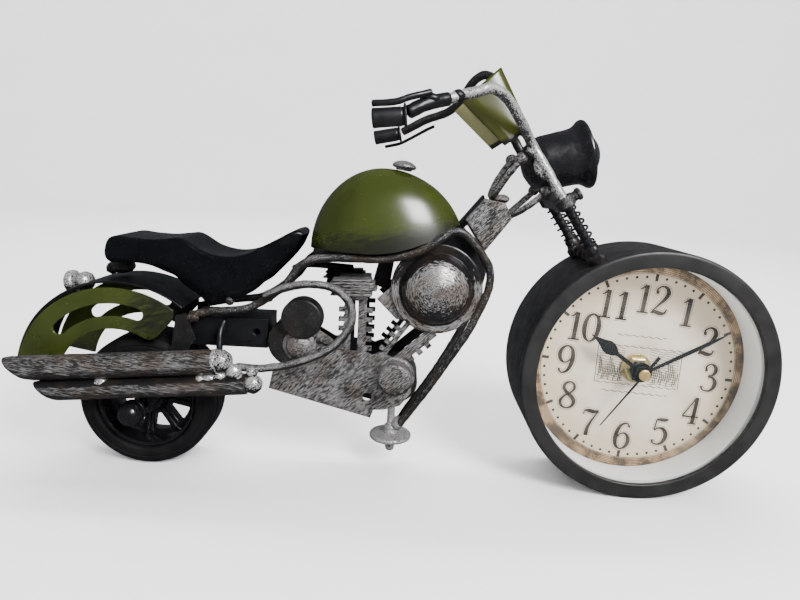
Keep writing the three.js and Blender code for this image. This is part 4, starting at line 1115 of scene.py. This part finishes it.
piece("tank_shell", tank_shape(), "green_tank", ("fuel_tank",), bevel=0.5, smooth=40, uneven=(0.1, 14))
bed_line = [(x, tank_base(x) + 0.3) for x in np.linspace(-26, 30, 24)]
bed = [*bed_line, *[(x, z - 2.6) for x, z in bed_line[::-1]]]
trim("tank_bed", plate(bed, -11.2, 11.2, bevel=0.3))
cap = rounded([
    (0, 0), (3.0, 0), (3.4, 0.4), (3.2, 0.7), (4.6, 1.0), (5.0, 1.7), (4.6, 2.5), (3.0, 3.5), (1.2, 3.9),
    (0, 4.0),
], 0.4)
piece(
    "tank_cap", turned(cap, (8.6, 0, 130.3), (0.12, 0, 1), 56), "silver_dome", ("fuel_cap",),
    uneven=(0.1, 1.5),
)

# ------------------------------------------------------------------ frame rods, neck and foot

TOP_RAIL = [
    (-75.2, -12, 68.3), (-67, -12, 70), (-52, -12.4, 72.4), (-43.5, -13, 77.3), (-36, -13.6, 83.6),
    (-31, -14, 90.6), (-26, -14, 93.8), (-18, -14, 94.9), (1, -14, 95.4), (10, -14, 97), (18, -14.4, 100),
    (23, -15.1, 103.4), (27, -14.8, 106.6), (31, -14.5, 107.9), (34.8, -13.9, 106.4), (38.4, -13.5, 102.9),
    (41.8, -13.2, 98.8), (44.3, -13, 94.8), (45.4, -13, 90.5), (45.2, -13, 86), (43.9, -12.9, 81),
]
DOWN_TUBE = [
    (41.5, -12.7, 75), (38.4, -12.2, 67.5), (31, -10.5, 54), (23, -7.6, 39.5), (15.5, -4, 26.5),
    (12.6, -2.7, 21.6),
]
DOWN_TUBE_LEFT = [
    (42.1, 12.7, 75), (40.1, 12.2, 67.5), (33.5, 10.5, 54), (24.8, 7.6, 39.5), (15.6, 4, 26.5),
    (12.6, 2.7, 21.6),
]
piece("rod_right", merged(
    tube(TOP_RAIL + DOWN_TUBE, 1.66, 20, 0.8, 0.16, 1), blob((-59, -13.2, 75.2), (1.9, 1.5, 1.9), seed=5),
    blob((-74.4, -12.6, 67.2), (2.6, 1.5, 2.0), seed=6),
    blob((-42.8, -13.6, 77.4), (1.6, 1.2, 1.8), seed=7),
), "silver_rod", ("frame_rod_right",))
piece("rod_left", merged(
    tube(mirrored(TOP_RAIL) + DOWN_TUBE_LEFT, 1.66, 20, 0.8, 0.16, 2),
    blob((-59, 13.2, 75.2), (1.9, 1.5, 1.9), seed=8),
), "black_rod", ("frame_rod_left",))

side = [(34.6, 112), (41.9, 120.9), (50.2, 119.5), (53.2, 113.4), (43.3, 99.8)]
strap = [(32.4, 110.6), (33.8, 107.9), (35.6, 109.6), (42.9, 118.6), (41.7, 122.4)]
upper = [(53.6, -11.4, 136.4), (48.6, -9.6, 129), (45.6, -6, 122.8), (45.4, -2, 121.4)]
lower = [(64.6, -11.4, 124.6), (58.6, -9.6, 119), (54, -6, 115.4), (52.4, -2, 115)]
yokes = [
    tube(line + mirrored(line)[::-1], 1.3, 18, 0.7, 0.18, 3 + k) for k, line in enumerate((upper, lower))
]
welds = [blob((53.9, y, 137), (2.5, 1.7, 2.5), seed=9 + y) for y in (-11.6, 11.6)]
welds += [blob((64.4, y, 124.9), (2.3, 1.6, 2.2), seed=19 + y) for y in (-11.6, 11.6)]
welds += [blob((48.6, -3.6, 121), (3.4, 3.4, 1.9), seed=30), blob((53, -3, 115.2), (1.8, 3.2, 2.0), seed=31)]
piece(
    "neck_plate",
    merged(plate(rounded(side, 0.8, True), -7, 7, bevel=0.5), *yokes, *welds), "silver_neck", ("neck",),
    uneven=(0.06, 2),
)
trim("neck_strap", plate(rounded(strap, 0.5, True), -3, 3, bevel=0.4))

foot = rounded([
    (0, 7.45), (1.5, 7.7), (2.1, 9), (2.2, 13.6), (8.2, 13.7), (9.1, 14.1), (9.35, 14.9), (9.1, 15.8),
    (6.4, 16.4), (3.4, 16.7), (3.0, 18.0), (3.0, 19.4), (1.7, 20.4), (1.6, 32), (0, 32),
], 0.5)
joint = blob((11.6, -0.4, 21.0), (3.0, 3.9, 2.7), (-0.5, 0, 1), seed=33, uneven=0.12)
piece(
    "foot", merged(turned(foot, (8.4, 0, 0), (0, 0, 1), 64), joint), "silver_foot", ("foot_bolt",),
    uneven=(0.1, 1.7),
)

# ------------------------------------------------------------------ fork and handlebar

ALONG = Vector((-0.574, 0, 0.819))
OUT = Vector((0.819, 0, 0.574))


def on_fork(distance, y, out=0.0):
    """A place on the fork: how far up along it from the drum, sideways, and out in front of it."""
    return tuple(Vector((87.3, y, 98.9)) + ALONG * distance + OUT * out)


# The handlebar ends differ from side to side, as on the real piece.
RIGHT_BAR = [
    (50.6, -21, 150), (44.5, -25.5, 156.8), (38.6, -28.8, 159.6), (32.3, -33, 157.5), (27.3, -36.5, 155.8),
    (22.4, -39.5, 153.9), (17.6, -42, 152.5), (13.6, -43.8, 150.8), (9.9, -45, 148.7),
]
LEFT_BAR = [
    (53.4, 19, 149.6), (50.8, 23, 156.8), (48.4, 27.6, 167), (45.6, 30.6, 172.6), (41.8, 33, 174),
    (37.8, 34.5, 171.4), (34.7, 36, 166.6), (32, 38, 161.9), (27.4, 40, 158.2), (17.5, 42.5, 154.4),
    (11.1, 44, 151), (7.1, 44.9, 148.8),
]


def leg(low_end, high_end, y):
    """A straight stretch of a fork leg."""
    count = max(2, round((high_end - low_end) / 9) + 1)
    return [on_fork(distance, y) for distance in np.linspace(low_end, high_end, count)]


shoulder = [
    blob(on_fork(43, -13.2, -1.2), (2.6, 1.9, 4.6), ALONG, seed=12, uneven=0.14),
    blob(on_fork(51, -13.6, -0.6), (2.3, 1.7, 2.6), ALONG, seed=13, uneven=0.14),
]
bar = tube(leg(27.5, 54, -14) + RIGHT_BAR[:7], 1.92, 22, 0.8, 0.2, 11)
piece("fork_right", merged(bar, *shoulder), "silver_light", ("fork_rod_right",))
trim("fork_right_low", tube(leg(7, 28.5, -14), 1.85, 22, 0.8, 0.12, 16))
trim("bar_end_right", merged(
    tube(RIGHT_BAR[5:], 2.3, 22, 0.8, 0.14, 17), blob((16.4, -43.2, 153.5), (3.4, 1.7, 1.7), seed=18),
    blob((26, -37.6, 155.3), (2.4, 2.2, 2.2), seed=19, uneven=0.12),
))
piece("fork_left", merged(
    tube(leg(7, 54, 14) + LEFT_BAR, 1.92, 22, 0.8, 0.16, 14),
    blob(on_fork(42, 13.2, -1.0), (2.7, 2.0, 3.4), ALONG, seed=15),
), "black_rod", ("fork_rod_left",))

GRIP = rounded([
    (0, 0), (3.9, 0), (4.15, 0.2), (4.15, 0.65), (3.9, 0.85), (3.0, 1.0), (3.0, 1.5), (3.15, 1.8),
    (3.2, 9.6), (3.3, 11.2), (3.05, 11.7), (1.6, 11.85), (0, 11.85),
], 0.25)
for grip_name, start, stop, stretch in (
    ("right", (9.1, -45, 147.3), (-2.4, -45.2, 146.0), 0.975),
    ("left", (6, 45, 147.9), (-6.7, 45.2, 145.2), 1.09),
):
    run = [(r, h * stretch) for r, h in GRIP]
    piece(
        "handle_" + grip_name,
        turned(run, start, tuple(Vector(stop) - Vector(start)), 48), "grip_black", ("grip_" + grip_name,),
    )


def lever(path, wide, thick, seed):
    """A flattened blade along a path, rounded at the ends."""
    return tube(path, wide, 20, 0.7, 0.08, seed, flatten=thick)


piece("lever_right", lever([
    (16.5, -44.4, 155.2), (14, -45.2, 154.4), (9.7, -46.4, 153.1), (6.2, -47.1, 151.6), (2, -47.35, 150.9),
    (-2, -47.4, 150.5),
], 1.15, 0.95, 22), "satin_black", ("brake_lever",))
piece("lever_left", lever([
    (21.5, 46.6, 152), (17.9, 47.6, 150.2), (11, 48.2, 146.2), (6, 48.3, 143.5), (-1.1, 48, 141.6),
], 0.88, 0.85, 23), "satin_black", ("clutch_lever",))

for spring_name, y in (("right", -14), ("left", 14)):
    turns, low_d, high_d = 5, 8.8, 24.0
    coil = []
    for i in range(turns * 20 + 1):
        angle = i / 20 * 2 * math.pi
        share = i / (turns * 20)
        flat = min(1.0, min(share, 1 - share) * turns)
        distance = low_d + (high_d - low_d) * share
        coil.append(on_fork(
            distance, y + 2.85 * math.sin(angle) * (0.92 + 0.08 * flat),
            2.85 * math.cos(angle) * (0.92 + 0.08 * flat),
        ))
    piece("spring_" + spring_name, tube(coil, 0.45, 12, 0.5), "satin_black", ("fork_spring_" + spring_name,))
    seats = [
        lathe([(1.7, 0), (3.0, 0), (3.0, 0.6), (1.7, 0.6), (1.7, 0)], 0.2, on_fork(d, y), tuple(ALONG), 40)
        for d in (7.6, 24.4)
    ]
    trim("spring_seats_" + spring_name, merged(*seats))


clamp_bits = [slab((25.4, 29.4), (-11.4, 11.4), (-3.1, 2.4), on_fork)]
for y in (-14, 14):
    collar = rounded([(2.3, 0), (3.7, 0), (3.9, 0.4), (3.9, 4.0), (3.7, 4.4), (2.3, 4.4), (2.3, 0)], 0.3)
    clamp_bits.append(turned(collar, on_fork(25.2, y), tuple(ALONG), 40))
    clamp_bits.append(lathe([
        (0, 2.4), (2.0, 2.4), (2.0, 5.2), (2.5, 5.3), (2.5, 6.6), (2.1, 6.9), (0, 6.9),
    ], 0.2, on_fork(27.4, y, 0), tuple(OUT), 36))
piece("clamp", merged(*clamp_bits), "silver_dark", ("fork_clamp",), bevel=0.45, uneven=(0.06, 1.8))
piece("mount_block", merged(
    *[blob(on_fork(1.6, y, 0.2), (4.2, 3.6, 4.6), ALONG, uneven=0.16, seed=40 + y) for y in (-13.2, 13.2)],
    *[blob(on_fork(5.4, y, 0), (3.0, 3.0, 3.4), ALONG, uneven=0.14, seed=50 + y) for y in (-14, 14)],
    *[blob(on_fork(0.6, y, 0.8), (3.2, 4.0, 3.6), ALONG, uneven=0.16, seed=60 + y) for y in (-6.5, 0, 6.5)],
), "black_rod", ("fork_mount",))

# ------------------------------------------------------------------ headlight and windscreen

LAMP_AXIS = (math.cos(math.radians(15)), 0, math.sin(math.radians(15)))
LAMP_AT = (82.1, 0, 140.6)
bucket = rounded([
    (0, -27), (4, -26.4), (8, -24.4), (10.2, -21.4), (10.9, -18), (11.05, -12), (11.15, -7), (11.5, -4.9),
    (12.5, -3.2), (13.5, -2.1), (13.8, -1.1), (13.5, -0.2), (12.7, 0), (11.6, -0.7), (10.2, -5), (9.8, -18),
    (0, -22),
], 0.6, steps=4)
piece("lamp_bucket", turned(bucket, LAMP_AT, LAMP_AXIS, 112), "lamp_black", ("headlight_bucket",), smooth=45)
glass = rounded([
    (0, -6.4), (9.6, -6.4), (9.6, -4.6), (9.2, -2.4), (8.2, 0.4), (6.2, 2.9), (3.4, 4.3), (0, 4.7),
], 1.2, steps=5)
rim_ring = rounded([(9.3, -4.6), (10.1, -4.6), (10.6, -1.4), (9.8, -0.7), (9.2, -1.4), (9.3, -4.6)], 0.25)
piece(
    "lamp_glass",
    merged(turned(glass, LAMP_AT, LAMP_AXIS, 96), turned(rim_ring, LAMP_AT, LAMP_AXIS, 96)), "lamp_lens",
    ("headlight_lens",), smooth=45,
)
trim("lamp_stalk", merged(
    blob((60.5, 0, 134.5), (3.2, 7.5, 3.2), seed=71), blob((64.5, 0, 128.8), (3.0, 6.6, 3.4), seed=72),
    tube([
        (57.4, -11, 138), (60, -5, 136.2), (60.6, 0, 135.6), (60, 5, 136.2), (57.4, 11, 138),
    ], 1.5, 18, 0.8, 0.14, 73),
), "silver_dark")


def screen_shape():
    """A sheet folded to a U. Its wings are cut back towards the lower edge."""
    fold = Vector((11.4, 0, -19.3)).normalized()
    out = Vector((0, 1, 0)).cross(fold).normalized()
    if out.x < 0:
        out = -out
    section = rounded([
        (-17.3, 1.0), (-15.6, 0.16), (-14.0, 0.0), (14.0, 0.0), (15.6, 0.16), (17.3, 1.0),
    ], 1.7, steps=6)
    dense = smooth_path([(y, f) for y, f in section], 0.6)
    rows = 22
    points = []
    for j in range(rows + 1):
        v = j / rows
        for y, f in dense:
            back = 18.5 * f * (1 - v) + 11.2 * f * v
            down = 4.2 * f * (1 - v) + (25 + 1.0 * f) * v
            spot = Vector((41.9, 0, 168.8)) + fold * down - out * (back - 0.8)
            points.append((spot.x, y, spot.z))
    return points, loft_faces(rows + 1, len(dense), closed=False, caps=False)


screen = piece("fly_screen", screen_shape(), "green_screen", ("windscreen",), smooth=60)
screen.data.materials.append(PAINTS["raw_edge"])
sheet = screen.modifiers.new("sheet", "SOLIDIFY")
sheet.thickness = 0.001
sheet.offset = 0
sheet.material_offset_rim = 1
trim("screen_tabs", merged(*[
    plate([(49.5, 147.0), (54.6, 144.0), (56.4, 146.6), (52.0, 150.0)], y - 0.6, y + 0.6, bevel=0.3)
    for y in (-13.4, 13.4)
]))

# ------------------------------------------------------------------ engine

refined("engine_plate_right", "silver_plate", 0.28)
# The left plate is left plain black, without the silver: painted shade, for its inner face that sits in
# shadow.
refined("engine_plate_left", "satin_black", 0.28)


HEAD_BASE, HEAD_HEIGHT = 80.4, 6.9


def fins(y0, y1, shift, count=6):
    """A cylinder head as a stack of thin, slightly uneven fins."""
    layers = []
    pitch = HEAD_HEIGHT / count
    for k in range(count):
        z0 = HEAD_BASE + k * pitch
        z1 = z0 + pitch * 0.86
        inset = 0.7 * (k % 2) + 0.3 * math.sin(k * 2.3)
        x0, x1 = -19.2 + abs(k - 2.4) * 0.5 + inset + shift, 0.7 - abs(k - 2.6) * 0.8 - inset + shift
        ring = rounded([
            (x0, y0 + inset * 0.4), (x1, y0 + inset * 0.4), (x1, y1 - inset * 0.4), (x0, y1 - inset * 0.4),
        ], 1.1, True, 5)
        points = [(x, y, z0 + 0.02 * (x + 9)) for x, y in ring]
        points += [(x, y, z1 + 0.05 * (x + 9)) for x, y in ring]
        layers.append((points, loft_faces(2, len(ring))))
    layers.append(slab((-17.4 + shift, -1.6 + shift), (y0 + 0.9, y1 - 0.9), (80.7, 86.6)))
    return merged(*layers)


piece(
    "heads",
    merged(fins(-17, -9.4, 0), slab((-16.6, -3.2), (-12, 12), (81.4, 85.6))), "silver_fins",
    ("cylinder_heads",), bevel=0.3, uneven=(0.1, 2.4),
)
trim("head_far", fins(10, 16, -5.6), bevel=0.3)
trim("head_pipe_far", tube([
    (-37.5, 10.5, 86.0), (-34, 10.6, 87.8), (-30, 10.8, 88.2), (-24, 11.4, 88.0), (-12, 12, 87.4),
], 1.5, 18, 0.8, 0.1, 80))
drum_profile = rounded([(0, -9.2), (8.2, -9.2), (9.1, -8.4), (9.1, 8.4), (8.2, 9.2), (0, 9.2)], 0.4)
piece("crank_case", turned(drum_profile, (9.8, 0, 42.5), BACK, 64), "black_rod", ("crank_drum",))
timing = rounded([
    (0, 0), (8.2, 0), (8.2, 0.9), (7.6, 1.5), (7.1, 1.7), (7.0, 2.4), (7.0, 6.0), (6.4, 7.2), (5.2, 7.75),
    (0, 7.8),
], 0.55)
piece(
    "timing_cover", turned(timing, (9.4, -11.3, 46.6), FRONT, 72), "silver_plate", ("timing_cap",),
    uneven=(0.07, 1.8),
)
cleaner = rounded([
    (0, 0), (18.2, 0), (18.6, 0.4), (18.5, 1.1), (17.6, 1.45), (15.2, 1.3), (14.7, 1.2), (14.4, 1.8),
    (13.9, 3.4), (12.6, 5.7), (10.4, 7.8), (7.4, 9.4), (3.8, 10.3), (0, 10.6),
], 0.8)
piece(
    "air_filter", turned(cleaner, (24.4, -11.3, 84.2), FRONT, 112), "silver_cleaner", ("air_cleaner",),
    uneven=(0.14, 4),
)
upper_disc = rounded([(0, 0), (7.7, 0), (8.4, 0.6), (8.4, 7.2), (7.8, 7.9), (0, 8.0)], 0.4)
lower_disc = rounded([(0, -4), (9.6, -4), (10.1, -3.4), (10.1, 11.2), (9.5, 11.9), (0, 12)], 0.5)
dome = rounded([
    (0, -1), (7.0, -1), (7.0, 0.4), (6.4, 0.9), (5.7, 1.2), (4.8, 2.5), (2.6, 3.6), (0, 3.9),
], 0.6)
gear = merged(
    turned(upper_disc, (-29.5, -8, 69.6), FRONT, 72), turned(lower_disc, (-34, 0, 58.4), FRONT, 72),
    slab((-36, -27), (-10.9, -8.2), (60, 68)),
)
piece("gear_case", gear, "black_rod", ("gearbox",), bevel=0.2, uneven=(0.07, 2))
trim("gear_dome", turned(dome, (-30.6, -11.8, 57.6), FRONT, 56), "silver_dome", uneven=(0.07, 2))

header = [
    (-52.6, -25.6, 51.6), (-44, -23, 50.6), (-28.6, -21, 53.5), (-15, -20, 61), (-8.7, -20, 71),
    (-9.8, -20, 78), (-15.7, -20, 83.6), (-25.5, -20, 85), (-35.3, -19, 82.8), (-43.6, -17, 78.8),
]
piece("header", tube(header, 1.62, 22, 0.7, 0.18, 90), "silver_loop", ("header_pipe",))


# ------------------------------------------------------------------ exhausts

SLOPE = Vector((78, 0, 6.9)).normalized()
RISE = Vector((-SLOPE.z, 0, SLOPE.x))


def exhaust_pipe(start, radius, wall, length, slash, seed, around=64, step=1.1):
    """A hammered pipe with a slash-cut open end. slash is how far the top overhangs the bottom."""
    points = []
    count = int(length / step)
    rings = [("in", 0.55), ("in", 0.2), ("in", 0.0)] + [("out", i / count) for i in range(count + 1)]
    for kind, share in rings:
        for k in range(around):
            a = 2 * math.pi * k / around
            cut_at = -slash / 2 * math.sin(a)
            along = cut_at + (length - cut_at) * share
            r = radius - wall if kind == "in" else radius
            out = RISE * math.sin(a) + Vector((0, 1, 0)) * math.cos(a)
            if kind == "out":
                q = Vector((along * 0.06, math.cos(a) * radius * 0.55, math.sin(a) * radius * 0.55 + seed))
                r += 0.17 * noise.noise(q * 2.2) + 0.09 * noise.noise(q * 6.0)
                r -= 0.3 * max(0.0, 1 - share * count * 0.5)
            points.append(tuple(Vector(start) + SLOPE * along + out * r))
    return points, loft_faces(len(rings), around)


upper_pipe = exhaust_pipe((-139.4, -26, 46.35), 4.95, 0.9, 79.2, 9.6, 1.0)
upper_end = [
    blob((-58.9, -26, 53.7), (4.7, 4.7, 4.7), seed=101, uneven=0.05),
    blob((-53.6, -26.6, 49.8), (3.1, 2.9, 3.3), seed=102),
]
collar_shape = lathe([
    (4.2, 0), (5.15, 0.1), (5.2, 1.6), (4.2, 1.8), (4.2, 0),
], 0.3, (-61.8, -26, 53.2), SLOPE, 48)
piece("muffler_upper", upper_pipe, "silver_pipe_upper", ("exhaust_upper",), smooth=60)
piece(
    "muffler_joint", merged(collar_shape, *upper_end), "silver_ball", slot="antique_silver",
    uneven=(0.12, 1.5),
)
lower_pipe = exhaust_pipe((-128.6, -26, 37.75), 4.1, 0.9, 80, 8.4, 7.0)
lower_end = [
    blob((-46.2, -26, 44.9), (3.7, 3.6, 3.8), seed=104, uneven=0.05),
    blob((-47.0, -25, 49.5), (2.4, 2.4, 2.5), seed=105),
    blob((-51.5, -25.6, 47.2), (2.4, 3.0, 2.2), seed=106, uneven=0.12),
]
spacers = [
    blob((x, -26, z), (w, 3.0, 2.3), seed=x, uneven=0.1)
    for x, z, w in ((-106, 42.8, 3.0), (-63.2, 46.7, 3.6), (-59.5, 47.8, 3.2), (-66.6, 46.2, 2.4))
]
piece("muffler_lower", lower_pipe, "silver_pipe", ("exhaust_lower",), smooth=60)
piece(
    "muffler_fittings", merged(*lower_end, *spacers), "silver_ball", slot="antique_silver",
    uneven=(0.12, 1.5),
)

# ------------------------------------------------------------------ brackets

gusset = [
    (22, 98), (27, 104.2), (31, 105.9), (35, 104.6), (38.5, 101), (42, 96.5), (44.2, 91), (44.2, 86),
    (42, 79), (36, 76), (28, 84),
]
trim("rod_gusset", plate(rounded(gusset, 1.0, True), 2, 3.4, bevel=0.3))
hanger = [(0.3, 93.7), (6.7, 94.1), (4.9, 80.5), (-2.3, 83)]
trim("hanger_bracket", plate(rounded(hanger, 0.6, True), -1.2, 1.2, bevel=0.4))
tab = [(-25.9, 64.1), (-22.4, 64.6), (-15.8, 60.4), (-17.2, 58.2), (-24.6, 60.2)]
piece(
    "loop_tab", plate(rounded(tab, 0.6, True), -12.6, -11.4, bevel=0.3), "silver_plate",
    slot="antique_silver",
)
trim("exhaust_hanger", tube([
    (-61, -22.6, 51), (-62, -18, 55), (-63, -13, 62), (-62, -11, 66),
], 1.3, 16, 0.8, 0.12, 110))

# ------------------------------------------------------------------ floor, light and camera

FLOOR_RADIUS, BEND, WALL_HEIGHT = 1.6, 0.9, 3.6
# The floor lies this far under the object, so that the two never share a plane.
FLOOR_GAP = 0.00002


def backdrop():
    """A pale round floor that curves up into a wall all around the object."""
    angles = np.linspace(0.08, math.pi / 2, 18)
    curve = [(FLOOR_RADIUS + BEND * math.sin(a), BEND - BEND * math.cos(a)) for a in angles]
    profile = [(0.0, 0.0), (FLOOR_RADIUS, 0.0), *curve, (FLOOR_RADIUS + BEND, WALL_HEIGHT)]
    points, faces = turned(profile, (0, 0, 0), (0, 0, 1), 128)
    mesh = bpy.data.meshes.new("studio_floor")
    mesh.from_pydata([(x, y, z + ORIGIN.z - FLOOR_GAP) for x, y, z in points], [], faces)
    for face in mesh.polygons:
        face.use_smooth = True
    obj = bpy.data.objects.new("studio_floor", mesh)
    bpy.context.scene.collection.objects.link(obj)
    m = Nodes("studio_floor", Roughness=0.85, Specular_IOR_Level=0.1)
    m.set(Base_Color=m.mix(m.noise(0.004, 2.0), (0.86, 0.86, 0.855), (0.9, 0.9, 0.9)))
    mesh.materials.append(m.material)
    obj.visible_glossy = False


def area_light(name, at, towards, size, power, colour=(1, 1, 1), mirrored_too=True):
    """A soft rectangular light. mirrored_too says whether glossy surfaces reflect it."""
    light = bpy.data.lights.new(name, "AREA")
    light.shape = "RECTANGLE"
    light.size, light.size_y = size
    light.energy = power
    light.color = colour
    obj = bpy.data.objects.new(name, light)
    bpy.context.scene.collection.objects.link(obj)
    obj.location = at
    obj.rotation_euler = (Vector(towards) - Vector(at)).to_track_quat("-Z", "Y").to_euler()
    obj.visible_glossy = mirrored_too


backdrop()
world = bpy.data.worlds.new("studio")
world.use_nodes = True
world.node_tree.nodes["Background"].inputs["Color"].default_value = (0.9, 0.95, 1.0, 1)
world.node_tree.nodes["Background"].inputs["Strength"].default_value = 0.14
bpy.context.scene.world = world
area_light("key", (0.55, -0.75, 0.75), (0, 0, 0.08), (0.36, 0.46), 30)
area_light("fill", (-0.4, -1.1, 0.9), (0, 0, 0.08), (0.8, 0.8), 6, (0.93, 0.97, 1.0), False)
area_light("top", (0.0, 0.35, 1.2), (0, 0.1, 0.0), (1.2, 0.9), 14, mirrored_too=False)
area_light("wall", (0.0, 0.6, 1.6), (0, 1.9, 0.5), (2.5, 0.5), 60, mirrored_too=False)

# The camera's place, and its angles in degrees: to the right of +Y, down, and leaning to its left.
CAMERA_AT = (10.7, -246.05, 127.87)
HEADING = -0.21
LOOKING_DOWN = 11.81
ROLL = 2.94
camera = bpy.data.cameras.new("camera")
camera.sensor_width = 36
camera.lens = 26.55
camera.clip_start = 0.01
camera_object = bpy.data.objects.new("camera", camera)
bpy.context.scene.collection.objects.link(camera_object)
turn = Matrix.Rotation(math.radians(-HEADING), 4, "Z")
turn @= Matrix.Rotation(math.radians(90 - LOOKING_DOWN), 4, "X")
turn @= Matrix.Rotation(math.radians(ROLL), 4, "Z")
camera_object.matrix_world = Matrix.Translation(place(CAMERA_AT)) @ turn
bpy.context.scene.camera = camera_object
